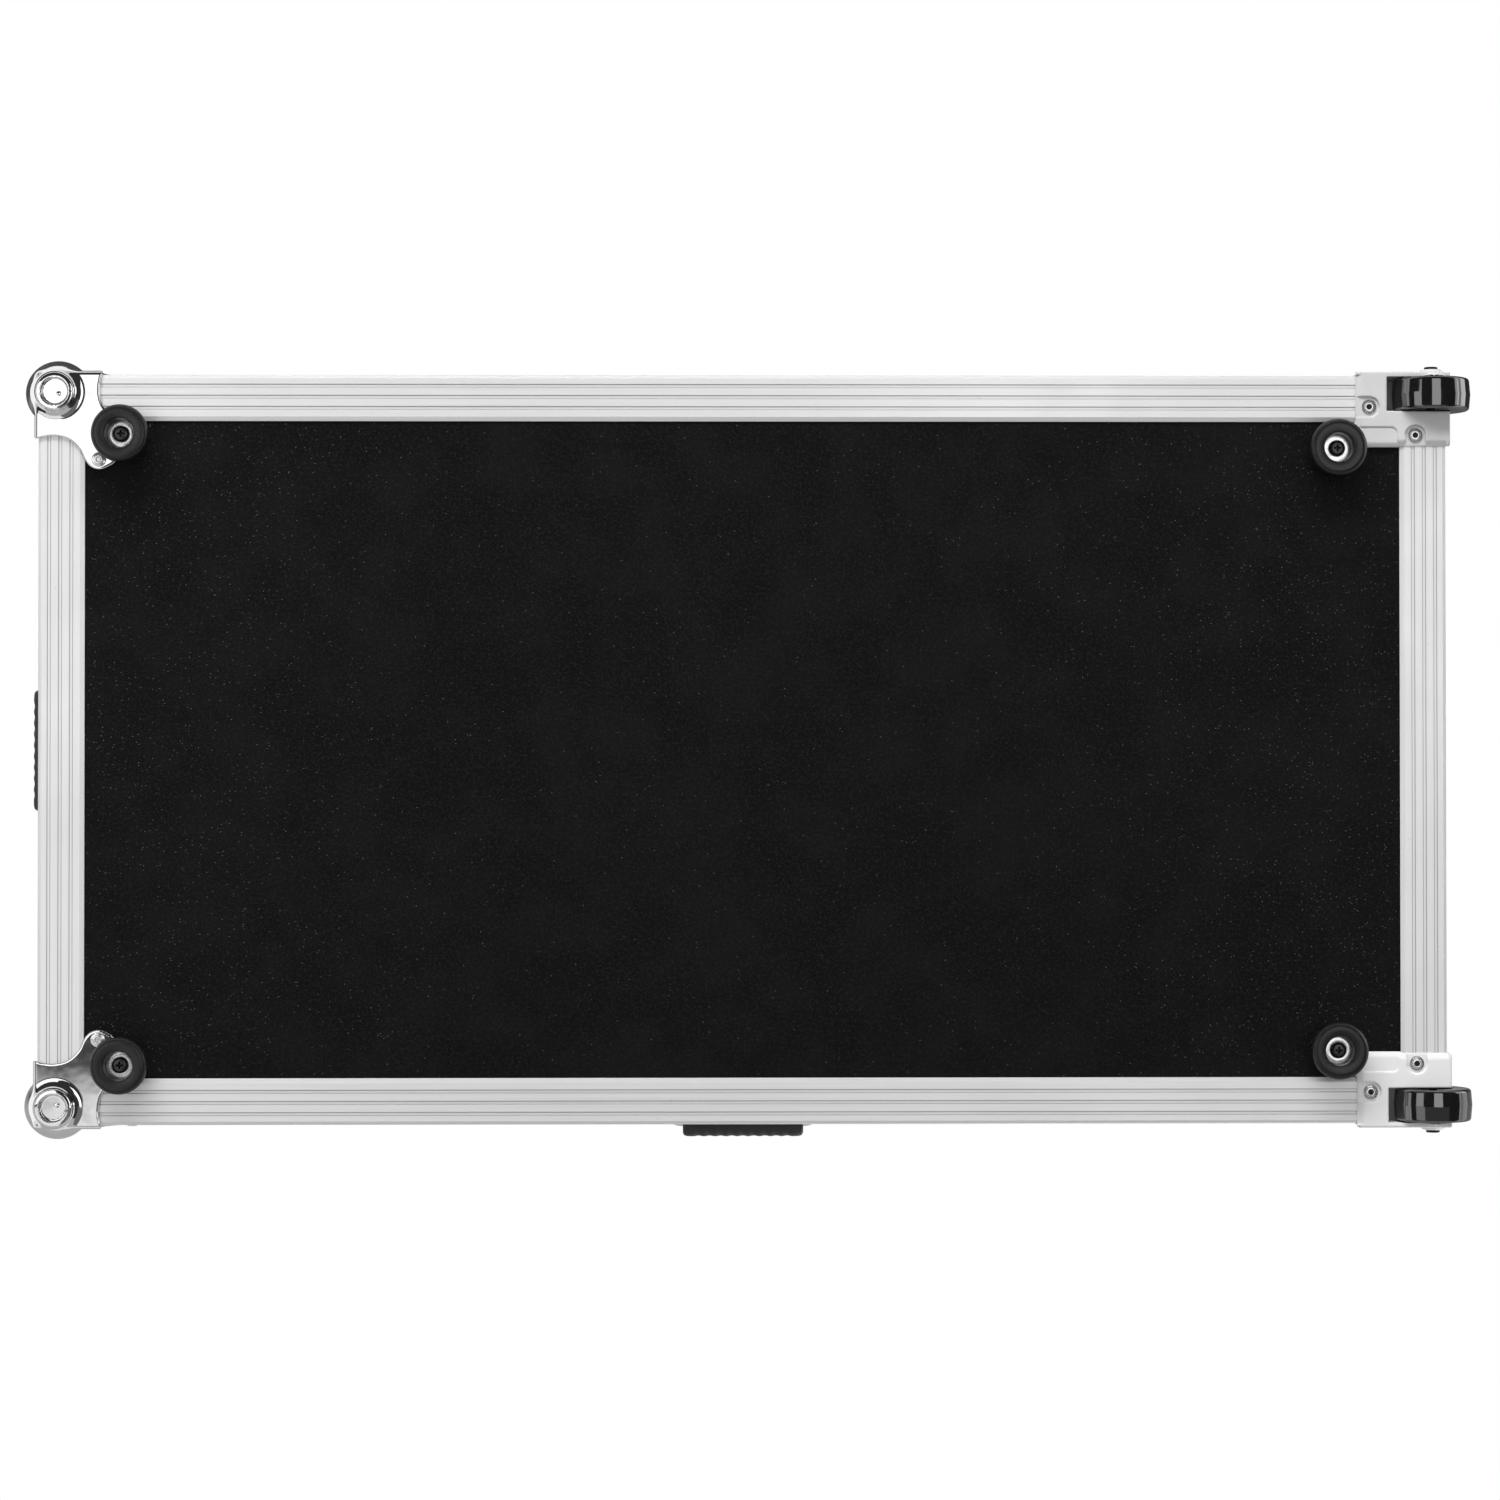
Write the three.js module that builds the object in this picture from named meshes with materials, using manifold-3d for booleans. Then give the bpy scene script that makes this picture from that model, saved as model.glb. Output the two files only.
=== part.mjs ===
// A flight case for two disc players and a mixer, lying on its rubber feet.
// Millimetres, +Z up. X runs along the case, Y from front to back, and the floor is at z = 0.
// The wheels are at the left end (-X), the towing handle at the right end (+X).

import * as THREE from 'three';
import { mergeVertices } from 'three/addons/utils/BufferGeometryUtils.js';
import Module from 'manifold-3d';

const wasm = await Module();
wasm.setup();

// The case as a whole

const caseLength = 940;
const caseDepth = 500;
const baseHeight = 165;
const lidHeight = 95;
const floorClearance = 22;
const panelThickness = 9;
const gap = 0.3;
const overrun = 6;

// Ribbed edge profile

const profileLeg = 31;
const profileWall = 2.2;
const profileFlangeWall = 1.5;
const profileFlangeReach = 20;
const profileCornerRadius = 2.4;
const profileBevel = 3;
const profileLip = 0.9;
const grooveCount = 3;
const groovePitch = 7.4;
const grooveWidth = 2;
const grooveDepth = 0.5;

// Tongue and groove rims on the parting line

const rimWall = 2;
const rimWeb = 2.5;
const tongueHeight = 6;
const tongueWidth = 4.2;
const tongueClearance = 0.5;

// Ball corners

const ballRadius = 22;
const ballInset = 12;
const ballFaceReach = 19.5;
const ballRingRadius = 12.8;
const ballDishRadius = 9.3;
const ballDishDepth = 1.6;
const plateProud = 2.5;
const lobeReach = 63.6;
const plateOutlineShares = [
	[ 0.673, 0 ], [ 0.649, 0.166 ], [ 0.685, 0.326 ], [ 0.791, 0.441 ],
	[ 0.915, 0.503 ], [ 0.985, 0.575 ], [ 1, 0.67 ], [ 0.948, 0.787 ],
];
const lobeFarShare = 0.897;
const lobeNearShare = 0.643;
const rivetRadius = 4.6;
const rivetHeight = 1.3;

// Wheels in the left bottom corners

const wheelRadius = 26;
const wheelWidth = 21.5;
const wheelInset = 8.3;
const wheelClearance = 5.7;
const wheelSideClearance = 0.8;
const wheelCrown = 0.7;
const wheelHubRadius = 13;
const wheelHubRecess = 2.2;
const wheelEdgeRadius = 2.2;
const housingLength = 61;
const housingWidth = 47.5;
const housingWall = 3;
const housingBossRadius = 9;
const housingBossHeight = 2.3;
const axleRadius = 3;
const axleHeadRadius = 4.6;
const axleHeadHeight = 1.4;

// Rubber feet

const footRadius = 19;
const footTaper = 2;
const footEdge = 4;
const footBoreRadius = 9.5;
const footFloor = 5;
const footScrewRadius = 2.8;
const footSpigotRadius = 12;
const footSpigotClearance = 2;

// Bays inside the base

const mixerBayWidth = 266;
const partitionHeight = 112;
const bayFoamFloor = 16;
const bayFoamWallAlong = 14;
const bayFoamWallAcross = 18;
const lidFoamThickness = 24;

// Hinges on the back

const hingeSpacing = 560;
const hingeWidth = 60;
const hingeLeafHeight = 28;
const hingeLeafThickness = 2;
const hingeKnuckleRadius = 3.6;
const hingePinRadius = 1.9;
const hingeKnuckleCount = 5;
const hingeKnuckleClearance = 1.6;

// Recessed butterfly latches on the front

const latchSpacing = 520;
const latchFlangeWidth = 104;
const latchFlangeDrop = 78;
const latchFlangeRise = 38;
const latchPocketWidth = 88;
const latchPocketDrop = 70;
const latchPocketRise = 30;
const latchSheet = 1.5;
const latchSpindleDrop = 34;
const latchDiscRadius = 11;
const latchDiscThickness = 2.5;
const latchHubRadius = 9;
const latchHubHeight = 2.9;
const latchJournalRadius = 4;
const latchEarThickness = 2.5;
const latchEarReach = 3;
const latchWingPinDepth = 1.7;
const latchWingPinRadius = 1.2;
const latchWingBarrelRadius = 2.2;
const latchWingBarrelLength = 10;
const latchWingThickness = 2.2;
const latchWingReach = 32;
const latchWingShares = [
	[ 0.155, 0.03 ], [ 0.155, 0.15 ], [ 0.3, 0.17 ], [ 0.48, 0.3 ],
	[ 0.53, 0.48 ], [ 0.49, 0.68 ], [ 0.36, 0.86 ], [ 0.18, 0.97 ],
];
const latchHookDepth = 4.6;
const latchHookThickness = 2.2;
const latchHookWidth = 24;
const latchHookPivotDrop = 20;
const latchHookPinRadius = 1.8;
const latchHookOpenAngle = 14;
const latchLugThickness = 2.7;
const latchLugReach = 3.2;
const latchClawLevel = 9;
const latchClawHeight = 2.5;
const latchClawReach = 2;
const latchKeeperWidth = 22;
const latchKeeperHeight = 3;
const latchKeeperReach = 3;

// Recessed spring handles

const handleFlangeWidth = 150;
const handleFlangeHeight = 92;
const handlePocketWidth = 128;
const handlePocketHeight = 72;
const handleSheet = 1.5;
const handlePivotRise = 24;
const handlePivotDepth = 5;
const handleGripDrop = 22;
const handleGripProud = 2.5;
const handleGripRadius = 11;
const handleGripLength = 82;
const handleRodRadius = 4;
const handleLegSpacing = 92;
const handleStubLength = 11;
const handleLugWidth = 6;
const handleLugReach = 7;

// Places worked out from the sizes above

const halfLength = caseLength / 2;
const halfDepth = caseDepth / 2;
const bottomZ = floorClearance;
const partingZ = bottomZ + baseHeight;
const topZ = partingZ + lidHeight;
const panelFace = profileWall + gap;
const panelBack = panelFace + panelThickness;
const slotFar = panelBack + gap;
const panelEdge = slotFar + profileFlangeWall + gap;
const innerFace = Math.max( panelEdge, slotFar + rimWall + gap );
const pocketReach = wheelInset + wheelRadius + wheelClearance;
const pocketLong = pocketReach + housingWall;
const slotNear = wheelSideClearance;
const slotWidth = wheelWidth + 2 * wheelSideClearance;
const pocketWide = slotNear + slotWidth + housingWall;
const footSeatZ = bottomZ - plateProud - rivetHeight - 2 * gap;
const lidRimCeiling = tongueHeight + tongueClearance;
const lidRimTop = lidRimCeiling + rimWeb;

// Materials

const aluminium = new THREE.MeshStandardMaterial( { color: 0xd2d4d6, roughness: 0.38, metalness: 0.9 } );
const laminate = new THREE.MeshStandardMaterial( { color: 0x1c1c1e, roughness: 0.6, metalness: 0 } );
const chrome = new THREE.MeshStandardMaterial( { color: 0xdddddd, roughness: 0.1, metalness: 1 } );
const castMetal = new THREE.MeshStandardMaterial( { color: 0xb4b5b7, roughness: 0.5, metalness: 0.4 } );
const rubber = new THREE.MeshStandardMaterial( { color: 0x2c2c2e, roughness: 0.8, metalness: 0 } );
const glossPlastic = new THREE.MeshStandardMaterial( { color: 0x0a0a0a, roughness: 0.15, metalness: 0 } );
const blackSteel = new THREE.MeshStandardMaterial( { color: 0x18181a, roughness: 0.4, metalness: 0.6 } );
const foam = new THREE.MeshStandardMaterial( { color: 0x2f2f32, roughness: 0.95, metalness: 0 } );

// Shapes

function closed( geometry ) {

	geometry.deleteAttribute( 'normal' );
	geometry.deleteAttribute( 'uv' );
	return mergeVertices( geometry );

}

function signedVolume( geometry ) {

	const corner = [ new THREE.Vector3(), new THREE.Vector3(), new THREE.Vector3() ];
	const { index, attributes } = geometry;
	let total = 0;
	for ( let i = 0; i < index.count; i += 3 ) {

		corner.forEach( ( point, k ) => {

			point.fromBufferAttribute( attributes.position, index.getX( i + k ) );

		} );
		total += corner[ 0 ].dot( corner[ 1 ].cross( corner[ 2 ] ) );

	}

	return total;

}

// Moves every vertex by a rule, and turns the faces over where the rule mirrors the shape
function remap( shape, rule ) {

	const geometry = closed( shape );
	const { position } = geometry.attributes;
	for ( let i = 0; i < position.count; i ++ ) {

		position.setXYZ( i, ...rule( position.getX( i ), position.getY( i ), position.getZ( i ) ) );

	}

	if ( signedVolume( geometry ) < 0 ) geometry.index.array.reverse();
	return geometry;

}

function box( x0, x1, y0, y1, z0, z1 ) {

	const geometry = new THREE.BoxGeometry( x1 - x0, y1 - y0, z1 - z0 );
	return geometry.translate( ( x0 + x1 ) / 2, ( y0 + y1 ) / 2, ( z0 + z1 ) / 2 );

}

function shapeOf( points ) {

	return new THREE.Shape( points.map( ( [ x, y ] ) => new THREE.Vector2( x, y ) ) );

}

function prism( outline, from, to ) {

	const geometry = new THREE.ExtrudeGeometry( outline, { depth: to - from, bevelEnabled: false } );
	return geometry.translate( 0, 0, from );

}

function rodZ( radius, from, to, sides ) {

	const geometry = new THREE.CylinderGeometry( radius, radius, to - from, sides );
	return geometry.rotateX( Math.PI / 2 ).translate( 0, 0, ( from + to ) / 2 );

}

function rodX( radius, from, to, sides ) {

	return rodZ( radius, from, to, sides ).rotateY( Math.PI / 2 );

}

function rodY( radius, from, to, sides ) {

	return rodZ( radius, from, to, sides ).rotateX( - Math.PI / 2 );

}

function turned( profile, sides ) {

	const points = profile.map( ( [ radius, height ] ) => new THREE.Vector2( radius, height ) );
	return remap( new THREE.LatheGeometry( points, sides ), ( x, height, z ) => [ x, z, height ] );

}

function solid( shape ) {

	const geometry = remap( shape, ( x, y, z ) => [ x, y, z ] );
	const vertProperties = new Float32Array( geometry.attributes.position.array );
	const triVerts = new Uint32Array( geometry.index.array );
	return new wasm.Manifold( new wasm.Mesh( { numProp: 3, vertProperties, triVerts } ) );

}

function geometryOf( manifold ) {

	const { vertProperties, triVerts } = manifold.getMesh();
	const geometry = new THREE.BufferGeometry();
	geometry.setAttribute( 'position', new THREE.BufferAttribute( vertProperties, 3 ) );
	geometry.setIndex( new THREE.BufferAttribute( triVerts, 1 ) );
	return geometry;

}

function join( ...shapes ) {

	return geometryOf( shapes.map( solid ).reduce( ( whole, piece ) => whole.add( piece ) ) );

}

function cut( shape, ...tools ) {

	const removed = tools.map( solid );
	return geometryOf( removed.reduce( ( whole, tool ) => whole.subtract( tool ), solid( shape ) ) );

}

// A shape drawn on the right of x = 0, with its mirror image
function bothSides( shape ) {

	return [ shape, remap( shape.clone(), ( x, y, z ) => [ - x, y, z ] ) ];

}

function common( shape, limit ) {

	return geometryOf( solid( shape ).intersect( solid( limit ) ) );

}

// Places a shape drawn from a corner of the case inwards: a along X, b along Y, c along Z
function atCorner( shape, sideX, sideY, onLid ) {

	const level = onLid ? topZ : bottomZ;
	const up = onLid ? - 1 : 1;
	return remap( shape, ( a, b, c ) => [
		sideX * ( halfLength - a ), sideY * ( halfDepth - b ), level + up * c,
	] );

}

const sides = { left: - 1, right: 1 };
const faces = { front: - 1, back: 1 };

const djCase = new THREE.Group();

function addPiece( name, shape, material ) {

	const geometry = closed( shape );
	geometry.computeVertexNormals();
	const mesh = new THREE.Mesh( geometry, material );
	mesh.name = name;
	djCase.add( mesh );

}

// Ribbed edge profile, drawn from the outer edge inwards

function grooveOutline( start ) {

	const points = [];
	for ( let i = 0; i < grooveCount; i ++ ) {

		const near = start + i * groovePitch - grooveWidth / 2;
		const far = near + grooveWidth;
		points.push( [ near, 0 ], [ near, grooveDepth ], [ far, grooveDepth ], [ far, 0 ] );

	}

	return points;

}

function swapped( points ) {

	return points.map( ( [ u, v ] ) => [ v, u ] ).reverse();

}

function edgeContour() {

	const web = slotFar + profileFlangeWall;
	const easedShare = 1 - Math.SQRT1_2;
	const eased = profileCornerRadius * easedShare;
	const leg = [
		[ profileCornerRadius, 0 ],
		...grooveOutline( groovePitch ),
		[ profileLeg - profileBevel, 0 ],
		[ profileLeg, profileWall - profileLip ],
		[ profileLeg, profileWall ],
		[ web, profileWall ],
		[ web, slotFar ],
		[ profileFlangeReach, slotFar ],
		[ profileFlangeReach, web ],
	];
	return [ [ eased, eased ], ...leg, [ web, web ], ...swapped( leg ) ];

}

function edgeSection() {

	const section = shapeOf( edgeContour() );
	const cell = [
		[ profileWall, profileWall ], [ slotFar, profileWall ],
		[ slotFar, slotFar ], [ profileWall, slotFar ],
	];
	section.holes.push( shapeOf( cell ) );
	return section;

}

// A length of edge profile with square or mitred ends
function edgeBar( from, to, mitredStart, mitredEnd, rule ) {

	const middle = ( from + to ) / 2;
	return remap( prism( edgeSection(), from, to ), ( u, v, s ) => {

		const mitred = s < middle ? mitredStart : mitredEnd;
		const shift = mitred ? u + gap : 0;
		return rule( u, v, s < middle ? s + shift : s - shift );

	} );

}

function addBaseEdges() {

	const leftStart = - halfLength + pocketLong + gap;
	for ( const [ face, side ] of Object.entries( faces ) ) {

		const rule = ( u, v, s ) => [ s, side * ( halfDepth - u ), bottomZ + v ];
		addPiece( `base_edge_${ face }`, edgeBar( leftStart, halfLength, false, true, rule ), aluminium );

	}

	for ( const [ end, side ] of Object.entries( sides ) ) {

		const atWheels = side < 0;
		const reach = atWheels ? halfDepth - pocketWide - gap : halfDepth;
		const rule = ( u, v, s ) => [ side * ( halfLength - u ), s, bottomZ + v ];
		addPiece( `base_edge_${ end }`, edgeBar( - reach, reach, ! atWheels, ! atWheels, rule ), aluminium );

	}

}

function addBasePosts() {

	const top = baseHeight - profileLeg - gap;
	for ( const [ face, sideY ] of Object.entries( faces ) ) {

		for ( const [ end, sideX ] of Object.entries( sides ) ) {

			const start = ( sideX < 0 ? Math.max( pocketLong, profileLeg ) : profileLeg ) + gap;
			const post = prism( edgeSection(), start, top );
			addPiece( `base_post_${ face }_${ end }`, atCorner( post, sideX, sideY, false ), aluminium );

		}

	}

}

// A frame round the case with mitred corners, from a contour of depth and height.
// It is turned with four sides, and its corners then move out to the corners of the case.
function mitredFrame( contour, level, up ) {

	const ring = [ ...contour, contour[ 0 ] ].map( ( [ depth, height ] ) => {

		return new THREE.Vector2( halfDepth - depth, height );

	} );
	const frame = new THREE.LatheGeometry( ring, 4, Math.PI / 4 );
	return remap( frame, ( x, height, z ) => {

		const depth = halfDepth - Math.hypot( x, z );
		const along = Math.sign( x ) * ( halfLength - depth );
		const across = Math.sign( z ) * ( halfDepth - depth );
		return [ along, across, level + up * height ];

	} );

}

// Heights in the rim contours count from the parting line, away from the other half

function baseRimContour() {

	const inner = slotFar + rimWall;
	const tongueStart = inner - tongueWidth;
	const face = grooveOutline( groovePitch + gap ).map( ( [ height, depth ] ) => [ depth, height ] );
	return [
		[ 0, gap ],
		...face,
		[ 0, profileLeg - profileBevel ],
		[ profileWall - profileLip, profileLeg ],
		[ profileWall, profileLeg ],
		[ profileWall, rimWeb + gap ],
		[ slotFar, rimWeb + gap ],
		[ slotFar, profileLeg ],
		[ inner, profileLeg ],
		[ inner, - tongueHeight ],
		[ tongueStart, - tongueHeight ],
		[ tongueStart, gap ],
	];

}

function lidRimContour() {

	const inner = slotFar + rimWall;
	const grooveStart = inner - tongueWidth - tongueClearance;
	const face = grooveOutline( groovePitch + gap ).map( ( [ height, depth ] ) => [ depth, height ] );
	return [
		[ 0, gap ],
		...face,
		[ 0, profileLeg - profileBevel ],
		[ profileWall - profileLip, profileLeg ],
		[ profileWall, profileLeg ],
		[ profileWall, lidRimTop ],
		[ slotFar, lidRimTop ],
		[ slotFar, profileLeg ],
		[ inner, profileLeg ],
		[ inner, lidRimCeiling ],
		[ grooveStart, lidRimCeiling ],
		[ grooveStart, gap ],
	];

}

// Spaces that the walls and rims leave free for the hardware set into them

function wheelSpaces() {

	const long = pocketLong + gap;
	const space = () => box( - overrun, long, - overrun, pocketWide + gap, - overrun, long );
	return Object.values( faces ).map( ( sideY ) => atCorner( space(), - 1, sideY, false ) );

}

function latchCentres() {

	return { left: - latchSpacing / 2, right: latchSpacing / 2 };

}

function latchSpaces( low, high ) {

	const half = latchPocketWidth / 2 + gap;
	return Object.values( latchCentres() ).map( ( x ) => box(
		x - half, x + half, - halfDepth - overrun, - halfDepth + slotFar, partingZ + low, partingZ + high ) );

}

const handleZ = bottomZ + baseHeight / 2;

// Handle drawings use: across, depth inwards from the profile's face, height above the handle's middle
const handleRules = {
	end: ( across, depth, height ) => [ halfLength - depth, across, handleZ + height ],
	front: ( across, depth, height ) => [ across, - halfDepth + depth, handleZ + height ],
};

function handleSpaces() {

	const half = handlePocketWidth / 2 + gap;
	const rise = handlePocketHeight / 2 + gap;
	return Object.values( handleRules ).map( ( rule ) => remap(
		box( - half, half, - overrun, panelBack + overrun, - rise, rise ), rule ) );

}

// Wall boards, drawn as: along the wall, depth inwards from the case's face, height

function longWall( side, half, low, high ) {

	const board = box( - half, half, panelFace, panelBack, low, high );
	return remap( board, ( s, depth, z ) => [ s, side * ( halfDepth - depth ), z ] );

}

function endWall( side, half, low, high ) {

	const board = box( - half, half, panelFace, panelBack, low, high );
	return remap( board, ( s, depth, z ) => [ side * ( halfLength - depth ), s, z ] );

}

function addBasePanels() {

	const x = halfLength - panelEdge;
	const y = halfDepth - panelEdge;
	const z0 = bottomZ + panelEdge;
	const z1 = partingZ - rimWeb - 2 * gap;
	const spaces = [
		...wheelSpaces(), ...handleSpaces(), ...latchSpaces( - latchPocketDrop - gap, overrun ),
	];
	const bottom = box( - x, x, - y, y, bottomZ + panelFace, bottomZ + panelBack );
	addPiece( 'bottom_panel', cut( bottom, ...wheelSpaces() ), laminate );
	for ( const [ face, side ] of Object.entries( faces ) ) {

		addPiece( `base_wall_${ face }`, cut( longWall( side, x, z0, z1 ), ...spaces ), laminate );

	}

	for ( const [ end, side ] of Object.entries( sides ) ) {

		addPiece( `base_wall_${ end }`, cut( endWall( side, y, z0, z1 ), ...spaces ), laminate );

	}

}

function addLidPanels() {

	const x = halfLength - panelEdge;
	const y = halfDepth - panelEdge;
	const z0 = partingZ + lidRimTop + gap;
	const z1 = topZ - panelEdge;
	const spaces = latchSpaces( - overrun, latchPocketRise + gap );
	addPiece( 'lid_top_panel', box( - x, x, - y, y, topZ - panelBack, topZ - panelFace ), laminate );
	for ( const [ face, side ] of Object.entries( faces ) ) {

		addPiece( `lid_wall_${ face }`, cut( longWall( side, x, z0, z1 ), ...spaces ), laminate );

	}

	for ( const [ end, side ] of Object.entries( sides ) ) {

		addPiece( `lid_wall_${ end }`, endWall( side, y, z0, z1 ), laminate );

	}

}

// The frame and its short corner posts, which sit a little inside its outer faces
function addLidFrame() {

	const contour = edgeContour();
	const inset = gap / 2;
	const posts = [];
	const from = profileLeg - profileBevel - profileLip;
	const to = lidHeight - profileLeg - gap;
	for ( const sideY of Object.values( faces ) ) {

		for ( const sideX of Object.values( sides ) ) {

			const post = prism( shapeOf( contour ), from, to ).translate( inset, inset, 0 );
			posts.push( atCorner( post, sideX, sideY, true ) );

		}

	}

	addPiece( 'lid_edge_frame', join( mitredFrame( contour, topZ, - 1 ), ...posts ), aluminium );

}

function addRims() {

	const baseRim = mitredFrame( baseRimContour(), partingZ, - 1 );
	const lidRim = mitredFrame( lidRimContour(), partingZ, 1 );
	const reach = profileLeg + overrun;
	addPiece( 'base_rim', cut( baseRim, ...latchSpaces( - reach, reach ) ), aluminium );
	addPiece( 'lid_rim', cut( lidRim, ...latchSpaces( - overrun, latchPocketRise + gap ) ), aluminium );

}

// Ball corner, drawn from the corner of the case inwards

function plateOutline() {

	const edge = plateOutlineShares.map( ( [ far, near ] ) => [ far * lobeReach, near * lobeReach ] );
	const half = [ [ edge[ 0 ][ 0 ], - plateProud ], ...edge ];
	return shapeOf( [ [ - plateProud, - plateProud ], ...half, ...swapped( half ) ] );

}

// The three faces of the corner: underside or top, long side, end
const faceRules = [
	( p, q, out ) => [ p, q, out ],
	( p, q, out ) => [ p, out, q ],
	( p, q, out ) => [ out, p, q ],
];

function cornerPlates( rivetPlaces ) {

	const outline = plateOutline();
	const inside = box( profileLeg + gap, lobeReach, profileLeg + gap, lobeReach, - plateProud, panelFace );
	const pieces = [];
	faceRules.forEach( ( rule, face ) => {

		pieces.push( remap( prism( outline, - plateProud, - gap ), rule ) );
		pieces.push( remap( common( prism( outline, - plateProud, panelFace - gap ), inside ), rule ) );
		for ( const [ p, q ] of rivetPlaces[ face ] ) {

			const rivet = rodZ( rivetRadius, - plateProud - rivetHeight, - gap, 8 ).translate( p, q, 0 );
			pieces.push( remap( rivet, rule ) );

		}

	} );
	return pieces;

}

function ballCorner( rivetPlaces ) {

	const ball = new THREE.SphereGeometry( ballRadius, 18, 10 ).rotateX( Math.PI / 2 );
	ball.translate( ballInset, ballInset, ballInset );
	const face = ballInset - ballFaceReach;
	const ring = rodZ( ballRingRadius, face, 0, 18 ).translate( ballInset, ballInset, 0 );
	const dish = rodZ( ballDishRadius, face - overrun, face + ballDishDepth, 18 );
	dish.translate( ballInset, ballInset, 0 );
	const reach = ballInset + ballRadius + overrun;
	const below = box( - reach, reach, - reach, reach, - reach, face );
	const caseCorner = box( - gap, reach, - gap, reach, - gap, reach );
	return join( cut( join( ball, ring ), caseCorner, below, dish ), ...cornerPlates( rivetPlaces ) );

}

const lobeFar = lobeFarShare * lobeReach;
const lobeNear = lobeNearShare * lobeReach;

function addBallCorners() {

	const both = [ [ lobeFar, lobeNear ], [ lobeNear, lobeFar ] ];
	const besideFoot = [ [ lobeNear, lobeFar ] ];
	for ( const [ face, sideY ] of Object.entries( faces ) ) {

		const base = ballCorner( [ besideFoot, both, both ] );
		addPiece( `ball_corner_base_${ face }_right`, atCorner( base, 1, sideY, false ), chrome );
		for ( const [ end, sideX ] of Object.entries( sides ) ) {

			const upper = ballCorner( [ both, [], [] ] );
			addPiece( `ball_corner_lid_${ face }_${ end }`, atCorner( upper, sideX, sideY, true ), chrome );

		}

	}

}

// Wheel, its housing and its axle bolt, drawn from the corner of the case inwards

function wheelHousing() {

	const shell = box( - plateProud, pocketLong, - plateProud, pocketWide, - plateProud, pocketLong );
	const under = box( - plateProud, housingLength, - plateProud, housingWidth, - plateProud, - gap );
	const side = box( - plateProud, housingLength, - plateProud, - gap, - plateProud, housingLength );
	const end = box( - plateProud, - gap, - plateProud, housingWidth, - plateProud, housingLength );
	const padStart = profileLeg + gap;
	const padEnd = panelFace - gap;
	const underPad = box( padStart, housingLength, padStart, housingWidth, - plateProud, padEnd );
	const sidePad = box( padStart, housingLength, - plateProud, padEnd, padStart, housingLength );
	const endPad = box( - plateProud, padEnd, padStart, housingWidth, padStart, housingLength );
	const boss = rodY( housingBossRadius, - plateProud - housingBossHeight, 0, 18 );
	boss.translate( wheelInset, 0, wheelInset );
	const slot = box( - overrun, pocketReach, slotNear, slotNear + slotWidth, - overrun, pocketReach );
	const bore = rodY( axleRadius + gap, - plateProud - overrun, pocketWide + overrun, 12 );
	bore.translate( wheelInset, 0, wheelInset );
	return cut( join( shell, under, side, end, underPad, sidePad, endPad, boss ), slot, bore );

}

function wheel() {

	const half = wheelWidth / 2;
	const bore = axleRadius + gap;
	const shoulder = wheelRadius - wheelCrown;
	const profile = [
		[ bore, - half + wheelHubRecess ],
		[ wheelHubRadius, - half + wheelHubRecess ],
		[ wheelHubRadius, - half ],
		[ shoulder - wheelEdgeRadius, - half ],
		[ shoulder - gap, - half + wheelEdgeRadius ],
		[ wheelRadius, 0 ],
		[ shoulder - gap, half - wheelEdgeRadius ],
		[ shoulder - wheelEdgeRadius, half ],
		[ wheelHubRadius, half ],
		[ wheelHubRadius, half - wheelHubRecess ],
		[ bore, half - wheelHubRecess ],
		[ bore, - half + wheelHubRecess ],
	];
	const middle = slotNear + slotWidth / 2;
	return turned( profile, 26 ).rotateX( - Math.PI / 2 ).translate( wheelInset, middle, wheelInset );

}

function axleBolt() {

	const face = - plateProud - housingBossHeight - gap;
	const shank = rodY( axleRadius, face - axleHeadHeight, pocketWide, 12 );
	const head = rodY( axleHeadRadius, face - axleHeadHeight, face, 12 );
	const socket = rodY( axleRadius / 2, face - overrun, face - axleHeadHeight / 2, 6 );
	return cut( join( shank, head ), socket ).translate( wheelInset, 0, wheelInset );

}

function addWheels() {

	for ( const [ face, sideY ] of Object.entries( faces ) ) {

		addPiece( `wheel_housing_${ face }`, atCorner( wheelHousing(), - 1, sideY, false ), castMetal );
		addPiece( `wheel_${ face }`, atCorner( wheel(), - 1, sideY, false ), glossPlastic );
		addPiece( `axle_bolt_${ face }`, atCorner( axleBolt(), - 1, sideY, false ), blackSteel );

	}

}

// Rubber feet

// The spigot stands on the bottom panel, or on the lobe of the corner plate
function foot( top ) {

	const profile = [
		[ footScrewRadius, top ],
		[ footSpigotRadius, top ],
		[ footSpigotRadius, footSeatZ ],
		[ footRadius - footTaper, footSeatZ ],
		[ footRadius, footEdge ],
		[ footRadius - footEdge / 3, footEdge / 3 ],
		[ footRadius - footEdge, 0 ],
		[ footBoreRadius, 0 ],
		[ footBoreRadius, footSeatZ - footFloor ],
		[ footScrewRadius, footSeatZ - footFloor ],
		[ footScrewRadius, top ],
	];
	return turned( profile, 20 );

}

function addFeet() {

	const places = {
		right: [ halfLength - lobeFar, halfDepth - lobeNear ],
		left: [
			- halfLength + housingLength + footSpigotRadius + footSpigotClearance,
			halfDepth - housingWidth - footSpigotClearance - gap,
		],
	};
	const tops = { right: bottomZ - plateProud - gap, left: bottomZ + panelFace - gap };
	for ( const [ face, sideY ] of Object.entries( faces ) ) {

		for ( const [ end, [ x, y ] ] of Object.entries( places ) ) {

			addPiece( `foot_${ face }_${ end }`, foot( tops[ end ] ).translate( x, sideY * y, 0 ), rubber );

		}

	}

}

// Partitions and foam

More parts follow.
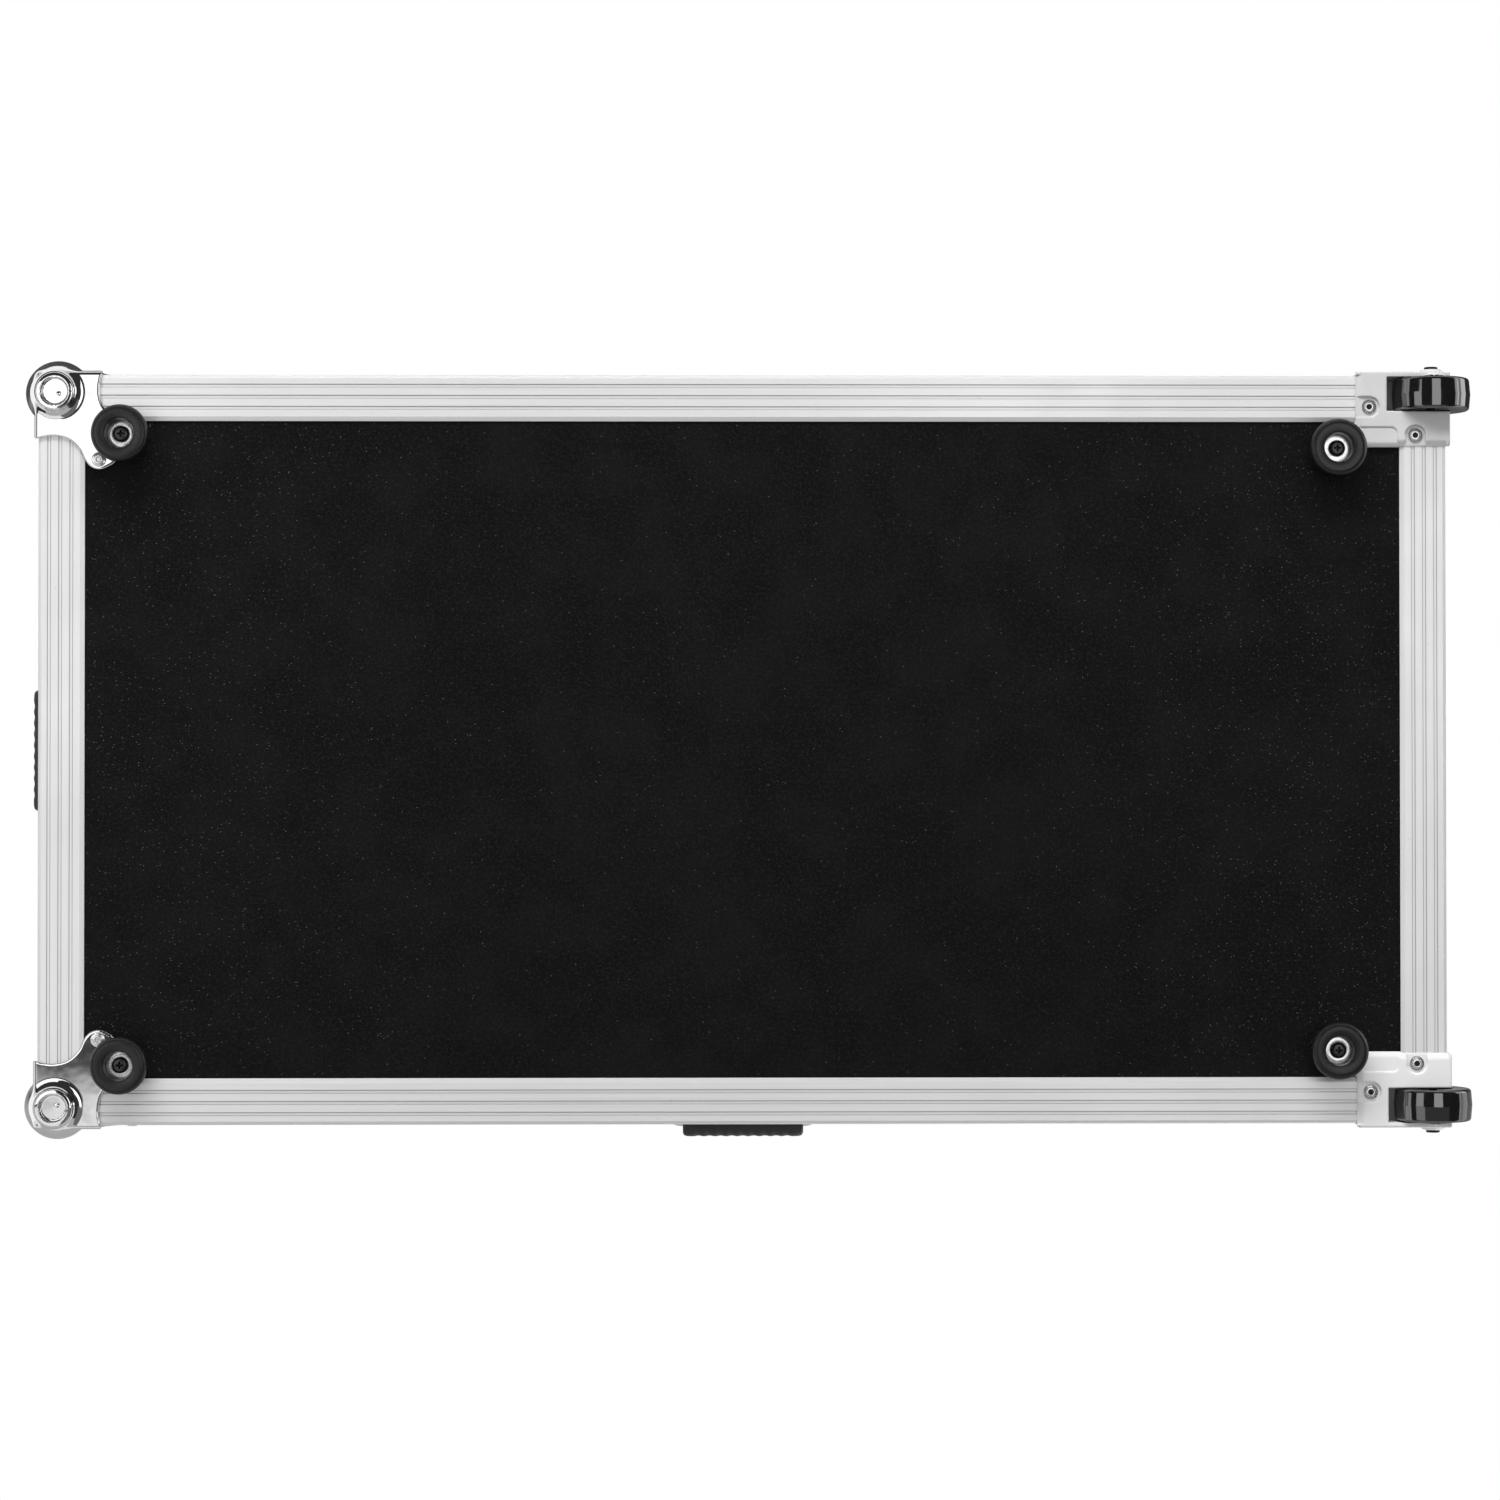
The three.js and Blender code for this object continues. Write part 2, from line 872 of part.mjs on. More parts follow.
function addBays() {

	const floorZ = bottomZ + slotFar;
	const bayZ = bottomZ + panelEdge;
	const topOfBays = floorZ + partitionHeight;
	const y = halfDepth - slotFar;
	const notch = profileFlangeReach + gap;
	const near = mixerBayWidth / 2;
	const far = near + panelThickness;
	for ( const [ end, side ] of Object.entries( sides ) ) {

		const mirror = ( x, along, z ) => [ side * x, along, z ];
		const board = box( near, far, - y, y, floorZ, topOfBays );
		const notches = Object.values( faces ).map( ( face ) => remap(
			box( near - overrun, far + overrun, - overrun, notch, floorZ - overrun, bottomZ + notch ),
			( x, depth, z ) => [ x, face * ( halfDepth - depth ), z ] ) );
		addPiece( `partition_${ end }`, remap( cut( board, ...notches ), mirror ), laminate );

		const x0 = far + gap;
		const x1 = halfLength - innerFace;
		const edgeY = halfDepth - innerFace;
		const pocketY = edgeY - bayFoamWallAcross;
		const block = box( x0, x1, - edgeY, edgeY, bayZ, topOfBays );
		const pocket = box(
			x0 + bayFoamWallAlong, x1 - bayFoamWallAlong,
			- pocketY, pocketY,
			bayZ + bayFoamFloor, topOfBays + overrun );
		const tray = remap( cut( block, pocket ), mirror );
		addPiece( `bay_foam_${ end }`, cut( tray, ...wheelSpaces() ), foam );

	}

	const padX = halfLength - notch;
	const padY = halfDepth - notch;
	const ceiling = topZ - slotFar;
	addPiece( 'lid_foam', box( - padX, padX, - padY, padY, ceiling - lidFoamThickness, ceiling ), foam );

}

// Hinges, drawn from the parting line on the back face: along, outwards, up

function hingeLeaf( lower ) {

	const axisOut = hingeLeafThickness + hingeKnuckleRadius + gap;
	const step = hingeWidth / hingeKnuckleCount;
	const half = hingeWidth / 2;
	const armTop = hingeKnuckleRadius + hingeKnuckleClearance;
	const pieces = [ box( - half, half, gap, gap + hingeLeafThickness, - hingeLeafHeight, - armTop + gap ) ];
	for ( let i = lower ? 0 : 1; i < hingeKnuckleCount; i += 2 ) {

		const from = - half + i * step + gap / 2;
		const to = from + step - gap;
		pieces.push( rodX( hingeKnuckleRadius, from, to, 14 ).translate( 0, axisOut, 0 ) );
		pieces.push( box( from, to, gap, axisOut - hingeKnuckleRadius / 2, - armTop, 0 ) );

	}

	const leaf = join( ...pieces );
	const pin = ( radius, reach ) => rodX( radius, - reach, reach, 12 ).translate( 0, axisOut, 0 );
	if ( lower ) return join( leaf, pin( hingePinRadius, half - gap / 2 ) );
	return cut( leaf, pin( hingePinRadius + gap, half + overrun ) );

}

function addHinges() {

	for ( const [ end, side ] of Object.entries( sides ) ) {

		const x = side * hingeSpacing / 2;
		const place = ( up ) => ( along, out, z ) => [ x + along, halfDepth + out, partingZ + up * z ];
		addPiece( `hinge_${ end }_base_leaf`, remap( hingeLeaf( true ), place( 1 ) ), chrome );
		addPiece( `hinge_${ end }_lid_leaf`, remap( hingeLeaf( false ), place( - 1 ) ), chrome );

	}

}

// Latches, drawn from the parting line on the front face: across, depth inwards, up

const latchFloor = panelBack - latchSheet;
const latchHookAxis = latchHookDepth + latchHookThickness / 2;

function latchDish() {

	const flangeHalf = latchFlangeWidth / 2;
	const pocketHalf = latchPocketWidth / 2;
	const flange = box( - flangeHalf, flangeHalf, - gap - latchSheet, - gap, - latchFlangeDrop, - gap );
	const pocket = box( - pocketHalf, pocketHalf, - gap - latchSheet, panelBack, - latchPocketDrop, - gap );
	const hollow = box(
		- pocketHalf + latchSheet, pocketHalf - latchSheet,
		- overrun, latchFloor,
		- latchPocketDrop + latchSheet, overrun );
	const journal = rodY( latchJournalRadius + gap, 0, slotFar + overrun, 12 );
	journal.translate( 0, 0, - latchSpindleDrop );
	const lugStart = latchHookWidth / 2 + gap;
	const lugs = bothSides( box(
		lugStart, lugStart + latchLugThickness,
		latchHookDepth - gap, latchFloor + latchSheet / 2,
		- latchHookPivotDrop - latchLugReach, - latchHookPivotDrop + latchLugReach ) );
	const pinReach = lugStart + latchLugThickness + gap;
	const pinHole = rodX( latchHookPinRadius + gap, - pinReach, pinReach, 12 );
	pinHole.translate( 0, latchHookAxis, - latchHookPivotDrop );
	return cut( join( cut( join( flange, pocket ), hollow ), ...lugs ), journal, pinHole );

}

function latchKeeper() {

	const flangeHalf = latchFlangeWidth / 2;
	const pocketHalf = latchPocketWidth / 2;
	const flange = box( - flangeHalf, flangeHalf, - gap - latchSheet, - gap, gap, latchFlangeRise );
	const pocket = box( - pocketHalf, pocketHalf, - gap - latchSheet, panelBack, gap, latchPocketRise );
	const hollow = box(
		- pocketHalf + latchSheet, pocketHalf - latchSheet,
		- overrun, latchFloor,
		- overrun, latchPocketRise - latchSheet );
	const lipTop = latchClawLevel - gap;
	const lip = box(
		- latchKeeperWidth / 2, latchKeeperWidth / 2,
		latchFloor - latchKeeperReach, latchFloor + latchSheet / 2,
		lipTop - latchKeeperHeight, lipTop );
	return join( cut( join( flange, pocket ), hollow ), lip );

}

function latchSpindle() {

	const discBack = latchFloor - gap;
	const discFront = discBack - latchDiscThickness;
	const hubFront = discFront - latchHubHeight;
	const disc = rodY( latchDiscRadius, discFront, discBack, 16 );
	const hub = rodY( latchHubRadius, hubFront, discFront + gap, 16 );
	const journal = rodY( latchJournalRadius, discBack - gap, panelBack, 12 );
	const earStart = latchWingBarrelLength / 2 + gap;
	const earFront = latchWingPinDepth - latchWingBarrelRadius - gap;
	const ears = bothSides( box(
		earStart, earStart + latchEarThickness, earFront, hubFront + gap, - latchEarReach, latchEarReach ) );
	const pinHole = rodX( latchWingPinRadius + gap, - latchHubRadius, latchHubRadius, 10 );
	pinHole.translate( 0, latchWingPinDepth, 0 );
	return cut( join( disc, hub, journal, ...ears ), pinHole ).translate( 0, 0, - latchSpindleDrop );

}

function latchWing() {

	const right = latchWingShares.map( ( pair ) => pair.map( ( share ) => share * latchWingReach ) );
	const left = right.map( ( [ across, along ] ) => [ - across, along ] ).reverse();
	const outline = shapeOf( [ ...right, ...left ] );
	const half = latchWingThickness / 2;
	const slab = prism( outline, latchWingPinDepth - half, latchWingPinDepth + half );
	const plate = remap( slab, ( x, along, depth ) => [ x, depth, - along ] );
	const barrelHalf = latchWingBarrelLength / 2;
	const barrel = rodX( latchWingBarrelRadius, - barrelHalf, barrelHalf, 12 );
	const pinHalf = barrelHalf + gap + latchEarThickness;
	const pin = rodX( latchWingPinRadius, - pinHalf, pinHalf, 10 );
	barrel.translate( 0, latchWingPinDepth, 0 );
	pin.translate( 0, latchWingPinDepth, 0 );
	return join( plate, barrel, pin ).translate( 0, 0, - latchSpindleDrop );

}

function latchHook() {

	const half = latchHookWidth / 2;
	const claw = latchClawLevel + latchClawHeight;
	const back = latchHookDepth + latchHookThickness;
	const plate = box( - half, half, latchHookDepth, back, - latchHookPivotDrop, claw );
	const nose = box( - half, half, latchHookDepth, back + latchClawReach, latchClawLevel, claw );
	const pinHalf = half + gap + latchLugThickness;
	const pin = rodX( latchHookPinRadius, - pinHalf, pinHalf, 12 );
	pin.translate( 0, latchHookAxis, - latchHookPivotDrop );
	const hook = join( plate, nose, pin );
	hook.translate( 0, - latchHookAxis, latchHookPivotDrop );
	hook.rotateX( THREE.MathUtils.degToRad( latchHookOpenAngle ) );
	return hook.translate( 0, latchHookAxis, - latchHookPivotDrop );

}

function addLatches() {

	for ( const [ end, x ] of Object.entries( latchCentres() ) ) {

		const rule = ( across, depth, up ) => [ x + across, - halfDepth + depth, partingZ + up ];
		const place = ( shape ) => remap( shape, rule );
		addPiece( `latch_${ end }_dish`, place( latchDish() ), chrome );
		addPiece( `latch_${ end }_keeper`, place( latchKeeper() ), chrome );
		addPiece( `latch_${ end }_spindle`, place( latchSpindle() ), chrome );
		addPiece( `latch_${ end }_wing`, place( latchWing() ), chrome );
		addPiece( `latch_${ end }_hook`, place( latchHook() ), chrome );

	}

}

// Spring handles

function handleDish() {

	const flangeHalf = handleFlangeWidth / 2;
	const flangeRise = handleFlangeHeight / 2;
	const pocketHalf = handlePocketWidth / 2;
	const pocketRise = handlePocketHeight / 2;
	const back = panelFace - gap;
	const front = back - handleSheet;
	const floor = panelBack - handleSheet;
	const flange = box( - flangeHalf, flangeHalf, front, back, - flangeRise, flangeRise );
	const pocket = box( - pocketHalf, pocketHalf, front, panelBack, - pocketRise, pocketRise );
	const hollow = box(
		- pocketHalf + handleSheet, pocketHalf - handleSheet,
		- overrun, floor,
		- pocketRise + handleSheet, pocketRise - handleSheet );
	const lugStart = handleLegSpacing / 2 + handleRodRadius + gap;
	const lugEnd = lugStart + handleLugWidth;
	const lugs = bothSides( box(
		lugStart, lugEnd,
		handlePivotDepth - handleLugReach + gap, floor + handleSheet / 2,
		handlePivotRise - handleLugReach, handlePivotRise + handleLugReach ) );
	const bore = rodX( handleRodRadius + gap, - lugEnd - gap, lugEnd + gap, 16 );
	bore.translate( 0, handlePivotDepth, handlePivotRise );
	return cut( join( cut( join( flange, pocket ), hollow ), ...lugs ), bore );

}

// Bail with its grip, hanging from its pivot down over the pocket
function handleBail() {

	const drop = handlePivotRise + handleGripDrop;
	const swing = handlePivotDepth + handleGripProud;
	const reach = Math.hypot( drop, swing );
	const lean = Math.atan2( swing, drop );
	const half = handleLegSpacing / 2;
	const gripHalf = handleGripLength / 2;
	const pieces = [
		rodX( handleRodRadius, - half, half, 12 ).translate( 0, 0, - reach ),
		rodX( handleGripRadius, - gripHalf, gripHalf, 18 ).translate( 0, 0, - reach ),
	];
	for ( const side of [ - 1, 1 ] ) {

		const elbow = new THREE.SphereGeometry( handleRodRadius, 12, 6 ).rotateZ( Math.PI / 2 );
		const stub = rodX( handleRodRadius, 0, handleStubLength, 12 );
		pieces.push( remap( stub, ( x, y, z ) => [ side * ( half + x ), y, z ] ) );
		pieces.push( rodZ( handleRodRadius, - reach, 0, 12 ).translate( side * half, 0, 0 ) );
		pieces.push( elbow.clone().translate( side * half, 0, 0 ) );
		pieces.push( elbow.translate( side * half, 0, - reach ) );

	}

	return join( ...pieces ).rotateX( - lean ).translate( 0, handlePivotDepth, handlePivotRise );

}

function addHandles() {

	for ( const [ place, rule ] of Object.entries( handleRules ) ) {

		addPiece( `handle_${ place }_dish`, remap( handleDish(), rule ), chrome );
		addPiece( `handle_${ place }_bail`, remap( handleBail(), rule ), rubber );

	}

}

addBasePanels();
addBaseEdges();
addBasePosts();
addRims();
addBallCorners();
addWheels();
addFeet();
addBays();
addLidPanels();
addLidFrame();
addHinges();
addLatches();
addHandles();

export default djCase;
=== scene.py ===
# The looks of a flight case for two disc players and a mixer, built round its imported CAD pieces.
# Shapes are drawn in millimetres and placed in metres. +Z is up, and the camera looks at the underside.

import math

import bpy
import numpy as np
from mathutils import Euler, Matrix, Vector


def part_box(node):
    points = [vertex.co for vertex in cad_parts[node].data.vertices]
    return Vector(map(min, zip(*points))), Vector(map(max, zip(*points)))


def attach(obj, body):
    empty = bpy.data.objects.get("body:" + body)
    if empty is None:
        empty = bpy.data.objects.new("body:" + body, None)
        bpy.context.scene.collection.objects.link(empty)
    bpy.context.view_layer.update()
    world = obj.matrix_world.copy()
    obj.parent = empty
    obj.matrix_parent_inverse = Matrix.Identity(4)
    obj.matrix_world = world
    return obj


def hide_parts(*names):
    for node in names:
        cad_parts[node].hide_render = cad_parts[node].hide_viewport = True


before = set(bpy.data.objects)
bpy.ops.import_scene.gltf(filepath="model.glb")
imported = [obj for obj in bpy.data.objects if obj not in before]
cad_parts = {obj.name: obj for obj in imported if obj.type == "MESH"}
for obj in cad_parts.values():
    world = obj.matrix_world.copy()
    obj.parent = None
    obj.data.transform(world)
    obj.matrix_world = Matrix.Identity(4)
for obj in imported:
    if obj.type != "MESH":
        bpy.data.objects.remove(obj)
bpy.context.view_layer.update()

MM = 0.001
GAP = 0.3
UP = (0, 0, 1)
DOWN = (0, 0, -1)

# The case, from the frame

HALF_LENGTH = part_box("base_edge_right")[1].x / MM
HALF_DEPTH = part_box("base_edge_back")[1].y / MM
BOTTOM_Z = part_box("base_edge_back")[0].z / MM
TOP_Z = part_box("lid_edge_frame")[1].z / MM
PARTING_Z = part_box("latch_left_dish")[1].z / MM + GAP
SIDES = {"left": -1, "right": 1}
FACES = {"front": -1, "back": 1}

# Eased edges of the CAD pieces that stay and of the foam trays, with angles in degrees

PANEL_EASE = 0.4
PROFILE_EASE = 0.22
STEEL_EASE = 0.35
LATCH_EASE = 0.45
DISH_EASE = 0.6
FOAM_EASE = 2.5
EASE_ANGLE = 32
FOAM_ANGLE = 30
FLAT_ANGLE = 0.4
WELD_REACH = 0.02

# Turned pieces: their number of sides, and the sharpest edge that is shaded smooth

WHEEL_TURNING = (96, 30)
FOOT_TURNING = (72, 50)
WASHER_TURNING = (48, 40)
GRIP_TURNING = (48, 35)
SCREW_SIDES = 48

# Edge profiles

PROFILE_LEG = 31
# The grooves' pitch and width, with the painted shade lines at their edges
GROOVE_PITCH = 7.4
GROOVE_WIDTH = 2
GROOVE_SOFT = (0.1, 0.42)
LAST_GROOVE = 3.5
STREAK_SCALES = (9, 2600)
WIDE_STREAK_SCALES = (3, 520)

# Ball corners

PANEL_FACE = 2.5
PROUD = 2.5
BALL_RADIUS = 22
BALL_INSET = 12
RING_REACH = 19.5
RING_FACE = BALL_INSET - RING_REACH
RING_OUTER = 12.8
RING_ROUND = 1.1
RING_FILLET = 1.3
DISH_RADIUS = 9.3
DISH_DEPTH = 1.6
DISH_ROUND = 0.7
DISH_LIP = 0.4
NUB_RADIUS = 1.3
NUB_SHIFT = (2.3, 1.5)
NUB_SINK = 0.75
NUB_FILLET = 0.4
LOBE_REACH = 63.6
PLATE_SHARES = [
    (0.673, 0), (0.649, 0.166), (0.685, 0.326), (0.791, 0.441),
    (0.915, 0.503), (0.985, 0.575), (1, 0.67), (0.948, 0.787),
]
LOBE_FAR = 0.897 * LOBE_REACH
LOBE_NEAR = 0.643 * LOBE_REACH
CAP_RADIUS = 4.9
CAP_HEIGHT = 1.3
CORNER_ROUND = 3.5
CORNER_EDGE = 1.1
BALL_FILLET = 2.2
CORNER_STEP = 0.75
FIELD_MARGIN = 2

# Wheel corners

HOUSING_LENGTH = 61.5
HOUSING_WIDTH = 48
HOUSING_ROUND = 5
HOUSING_EDGE = 0.9
PLATE_ROUND = 0.3
CHAMFER = 5.2
HOUSING_LIP = 0.6
LIP_ROUND = 0.25
SLOT_NEAR = 0.8
SLOT_WIDTH = 23.1
SLOT_WALL = 3
SLOT_ROUND = 0.45
ARCH_RADIUS = 33.3
WHEEL_INSET = 8.3
POCKET = WHEEL_INSET + ARCH_RADIUS + SLOT_WALL / 2
BOSS_BASE = 9.4
BOSS_TOP = 6.4
BOSS_HEIGHT = 2.3
BOSS_ROUND = 0.5
BOSS_FILLET = 0.8
BOSS_SHARE = 0.7
AXLE_RADIUS = 3
TAB_HALF = 6.8
TAB_FLOOR = 0.9
TAB_LONG = (51.7, 21.1)
TAB_SHORT = (20.8, 40.1)
STEP_START = (33.1, 34.7)
STEP_FLOOR = 1.7
STEP_ROUND = 4
HOUSING_STEP = 0.7

# Rivets, in shares of their radius and height: a flange, a raised rim round a hole, and the mandrel in it.
# The kinds of piece that they make have a profile, a number of sides, a material and a slot.

RIVET_RADIUS = 5.1
RIVET_HEIGHT = 1.5
SMALL_RIVET = 0.62
RIVET_SHARES = [
    (0, 0.16), (0.3, 0.12), (0.36, 0.84), (0.4, 0.98), (0.46, 1), (0.6, 0.94), (0.66, 0.84),
    (0.69, 0.62), (0.72, 0.58), (0.9, 0.5), (0.97, 0.38), (1, 0.16), (1, 0), (0, 0),
]
MANDREL_SHARES = [(0, 0.62), (0.231, 0.5), (0.33, 0.3), (0, 0.3)]
RIVET_KINDS = {
    "rivets": (RIVET_SHARES, 28, "rivet", "bright_chrome"),
    "mandrels": (MANDREL_SHARES, 16, "black_steel", "black_steel"),
}

# Wheels

WHEEL_RADIUS = 26
WHEEL_WIDTH = 21.5
WHEEL_CROWN = 0.7
WHEEL_EDGE = 2.2
HUB_RADIUS = 13
HUB_RECESS = 2.2
HUB_GROOVE = 0.8
HUB_STEPS = (-4, -3.2, -0.6, 0.4)
HUB_ROUND = 0.6
TREAD_SHARES = (0.97, 0.5, 0.04, 0)

# Feet

FOOT_RADIUS = 19
FOOT_TAPER = 2
FOOT_EDGE = 4
FOOT_SHOULDER = (0.25, 0.2)
FOOT_BORE = 9.8
BORE_MOUTH = [(0.9, 0), (0.3, 0.3), (0, 1.5)]
BORE_TAPER = 0.3
FOOT_FLOOR = 5
SPIGOT_RADIUS = 12
SPIGOT_BORE = 2.8
WASHER_RADIUS = 9.4
WASHER_HEIGHT = 1.2
WASHER_ROUND = 0.25
SCREW_RADIUS = 5.4
WASHER_BORE = SCREW_RADIUS - 1
SCREW_HEIGHT = 3.2
SCREW_SHARES = [(0, 0), (0.98, 0), (1, 0.4), (0.95, 0.72), (0.82, 0.9), (0.6, 1)]
CROSS_REACH = 0.46 * SCREW_RADIUS
CROSS_HALF = 0.11 * SCREW_RADIUS
CROSS_INNER = 1.3 * CROSS_HALF
CROSS_DEPTH = 0.8 * SCREW_HEIGHT
CROSS_TAPER = 0.2

# Handles, where a place is its depth under the case's face and its height over the handle's middle

GRIP_RADIUS = 11
GRIP_LENGTH = 82
GRIP_END = [(2.4, 0), (0.8, 1), (0.2, 3)]
GRIP_RIBS = 9
RIB_STEPS = 6
RIB_DEPTH = 0.55
RIB_TOP = 0.05
RIB_MARGIN = 7
ROD_RADIUS = 4
ROD_BEND = 6
LEG_SPACING = 92
STUB_LENGTH = 11
PIVOT = (5, 24)
GRIP_PLACE = (-2.5, -22)
HANDLE_Z = (BOTTOM_Z + PARTING_Z) / 2

# Foam

CRATE_PITCH = 28
CRATE_DEPTH = 11
CRATE_POWER = 1.3
CRATE_RIM = 6
CRATE_LIFT = 2
CRATE_STEP = 3.5

# Rivets of the latches, handles, hinges and rims

LATCH_X = 260
LATCH_PLATE = 1.5
LATCH_FACE = HALF_DEPTH + GAP + LATCH_PLATE
LATCH_ACROSS = 47.5
DISH_DROPS = (12, 66)
DISH_FOOT = 73.6
KEEPER_RISE = 30
HANDLE_REACH = 69
HANDLE_ROW = 41
HANDLE_COUNT = 4
HINGE_X = 280
HINGE_PLATE = 2
HINGE_FACE = HALF_DEPTH + GAP + HINGE_PLATE
HINGE_REACH = 22
HINGE_COUNT = 3
RIM_ROW = 19
RIM_END = 60
RIM_SIDE_END = 45
RIM_COUNT = 7
RIM_SIDE_COUNT = 4
LATCH_CLEAR = 60
HINGE_CLEAR = 40

# The camera sees the underside almost square on, 2.4 m away, and 1001 mm of it fill the picture's width.
# It is turned a little about the middle of the case, so that the handle end and the front are nearer.

CAMERA_DISTANCE = 2398.9
PICTURE_WIDTH = 1000.9
PICTURE_CENTRE = (-4.2, -0.5)
CAMERA_TURN = (-0.754, -0.686, 0.021)
SENSOR = 36
LENS_DISTANCE = 2400

# The stage, in metres

FLOOR_TONE = 0.82
FLOOR_REACH = 6.0
FLOOR_MARGIN = 0.06
WORLD_LIGHT = 0.45
ROOM_REACH = 2.7
ROOM_LOW = -2.75
ROOM_HORIZON = -0.6
ROOM_HIGH = 0.9
CARD_CORNERS = [(0.45, -1.3, -1.3), (2.0, -1.3, -1.3), (2.0, -0.3, -1.3), (0.45, -0.3, -1.3)]

# Each lamp's place, target, size and radiance, where 1 is white, and whether it shines, lights or does both

LAMPS = {
    "box_left": ((1.265, 0.265, -1.3), (1.265, 0.265, 0), (1.33, 0.97), 1.2, "shines"),
    "box_right": ((-0.705, 0.315, -2.378), (-0.705, 0.315, 0), (1.11, 1.47), 1.4, "shines"),
    "box_side": ((-2.6, 0.75, 0.03), (0, 0.75, 0.03), (1.3, 1.9), 1.2, "shines"),
    "key_back": ((0.3, 2.0, -1.2), (0, 0, 0), (2.4, 0.8), 14.5, "lights"),
    "key_right": ((-1.6, 0.2, -2.2), (-0.3, 0, 0), (1.2, 1.2), 1.6, "lights"),
    "top_key": ((-1.6, -2.2, 2.6), (0, 0, 0.1), (2.2, 2.2), 4.2, "both"),
    "top_fill": ((2.2, 1.6, 2.4), (0, 0, 0.1), (2.2, 2.2), 2.6, "both"),
}


# Mesh helpers

def linked(name, data):
    """A new object in the scene that holds the data."""
    thing = bpy.data.objects.new(name, data)
    bpy.context.scene.collection.objects.link(thing)
    return thing


def finished(name, mesh, material, smooth_angle):
    """An object with one material whose faces are smooth, but for edges sharper than the angle."""
    mesh.materials.clear()
    mesh.materials.append(MATERIALS[material])
    mesh.polygons.foreach_set("use_smooth", [True] * len(mesh.polygons))
    mesh.set_sharp_from_angle(angle=math.radians(smooth_angle))
    return linked(name, mesh)


def mesh_object(name, points, faces, material, smooth_angle=40):
    """An object whose mesh holds the points, in millimetres."""
    mesh = bpy.data.meshes.new(name)
    mesh.from_pydata((np.array(points, float) * MM).tolist(), [], faces)
    mesh.validate()
    return finished(name, mesh, material, smooth_angle)


def fit(piece, body, node=None):
    """The piece rides on a body and may take a CAD piece's place."""
    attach(piece, body)
    if node:
        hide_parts(node)


def between(rings):
    """Faces between neighbouring rings of point numbers; a ring may be one point, repeated."""
    faces = []
    for low, high in zip(rings, rings[1:]):
        for i, start in enumerate(low):
            j = (i + 1) % len(low)
            faces.append(list(dict.fromkeys([start, low[j], high[j], high[i]])))
    return faces


def turned(profile, sides):
    """Points and faces of a profile of (radius, height) turned about Z."""
    closed = profile[0] == profile[-1]
    points, rings = [], []
    for radius, height in profile[:-1] if closed else profile:
        start, count = len(points), sides if radius > 1e-6 else 1
        rings.append([start + i % count for i in range(sides)])
        for i in range(count):
            turn = 2 * math.pi * i / sides
            points.append((radius * math.cos(turn), radius * math.sin(turn), height))
    return points, between(rings + rings[:1] if closed else rings)


def rounded(profile, radius, steps, share=0.45):
    """The profile with its corners rounded by the radius, or by the share of a shorter side."""
    closed = profile[0] == profile[-1]
    spine = profile[:-1] if closed else profile
    count = len(spine)
    result = []
    for i, point in enumerate(spine):
        if not closed and i in (0, count - 1):
            result.append(tuple(point))
            continue
        here = np.array(point, float)
        before = np.array(spine[i - 1], float) - here
        after = np.array(spine[(i + 1) % count], float) - here
        reach = min(radius, np.linalg.norm(before) * share, np.linalg.norm(after) * share)
        start = here + before / np.linalg.norm(before) * reach
        end = here + after / np.linalg.norm(after) * reach
        for k in range(steps + 1):
            t = k / steps
            result.append(tuple((1 - t) ** 2 * start + 2 * t * (1 - t) * here + t ** 2 * end))
    return result + result[:1] if closed else result


def outward(faces, points):
    """The faces, turned over if the closed mesh that they make is inside out."""
    p = np.array(points, float)
    volume = 0.0
    for face in faces:
        for k in range(1, len(face) - 1):
            volume += np.dot(p[face[0]], np.cross(p[face[k]], p[face[k + 1]]))
    return faces if volume > 0 else [list(reversed(face)) for face in faces]


def placed(points, centre, axis):
    """Points drawn round Z, moved so that Z lies along the axis at the centre."""
    turn = Vector(axis).to_track_quat("Z", "Y").to_matrix()
    return [tuple(turn @ Vector(p) + Vector(centre)) for p in points]


def lathe(name, profile, centre, axis, material, turning):
    sides, smooth_angle = turning
    points, faces = turned(profile, sides)
    faces = outward(faces, points)
    return mesh_object(name, placed(points, centre, axis), faces, material, smooth_angle)


def joined(name, parts, material):
    """One object from several (points, faces) pairs."""
    points, faces = [], []
    for part_points, part_faces in parts:
        start = len(points)
        points += list(part_points)
        faces += [[start + i for i in face] for face in part_faces]
    return mesh_object(name, points, faces, material)


# Solids from distance fields, in millimetres

def both(a, b, radius):
    """What two fields share, with the edge between them rounded."""
    u = np.maximum(a + radius, 0)
    v = np.maximum(b + radius, 0)
    return np.minimum(np.maximum(a, b), -radius) + np.hypot(u, v)


def either(a, b, radius):
    """Two fields together, with a fillet between them."""
    u = np.maximum(radius - a, 0)
    v = np.maximum(radius - b, 0)
    return np.maximum(np.minimum(a, b), radius) - np.hypot(u, v)


def outline_distance(outline, x, y):
    """Distance from a closed outline, below 0 inside it."""
    nearest = np.inf
    inside = False
    for (ax, ay), (bx, by) in zip(outline, outline[1:] + outline[:1]):
        ex, ey = bx - ax, by - ay
        wx, wy = x - ax, y - ay
        share = np.clip((wx * ex + wy * ey) / (ex * ex + ey * ey), 0, 1)
        nearest = np.minimum(nearest, (wx - ex * share) ** 2 + (wy - ey * share) ** 2)
        cross = ex * wy - ey * wx
        upward = (ay <= y) & (by > y) & (cross > 0)
        downward = (ay > y) & (by <= y) & (cross < 0)
        inside = inside ^ (upward | downward)
    return np.sqrt(nearest) * np.where(inside, -1, 1)


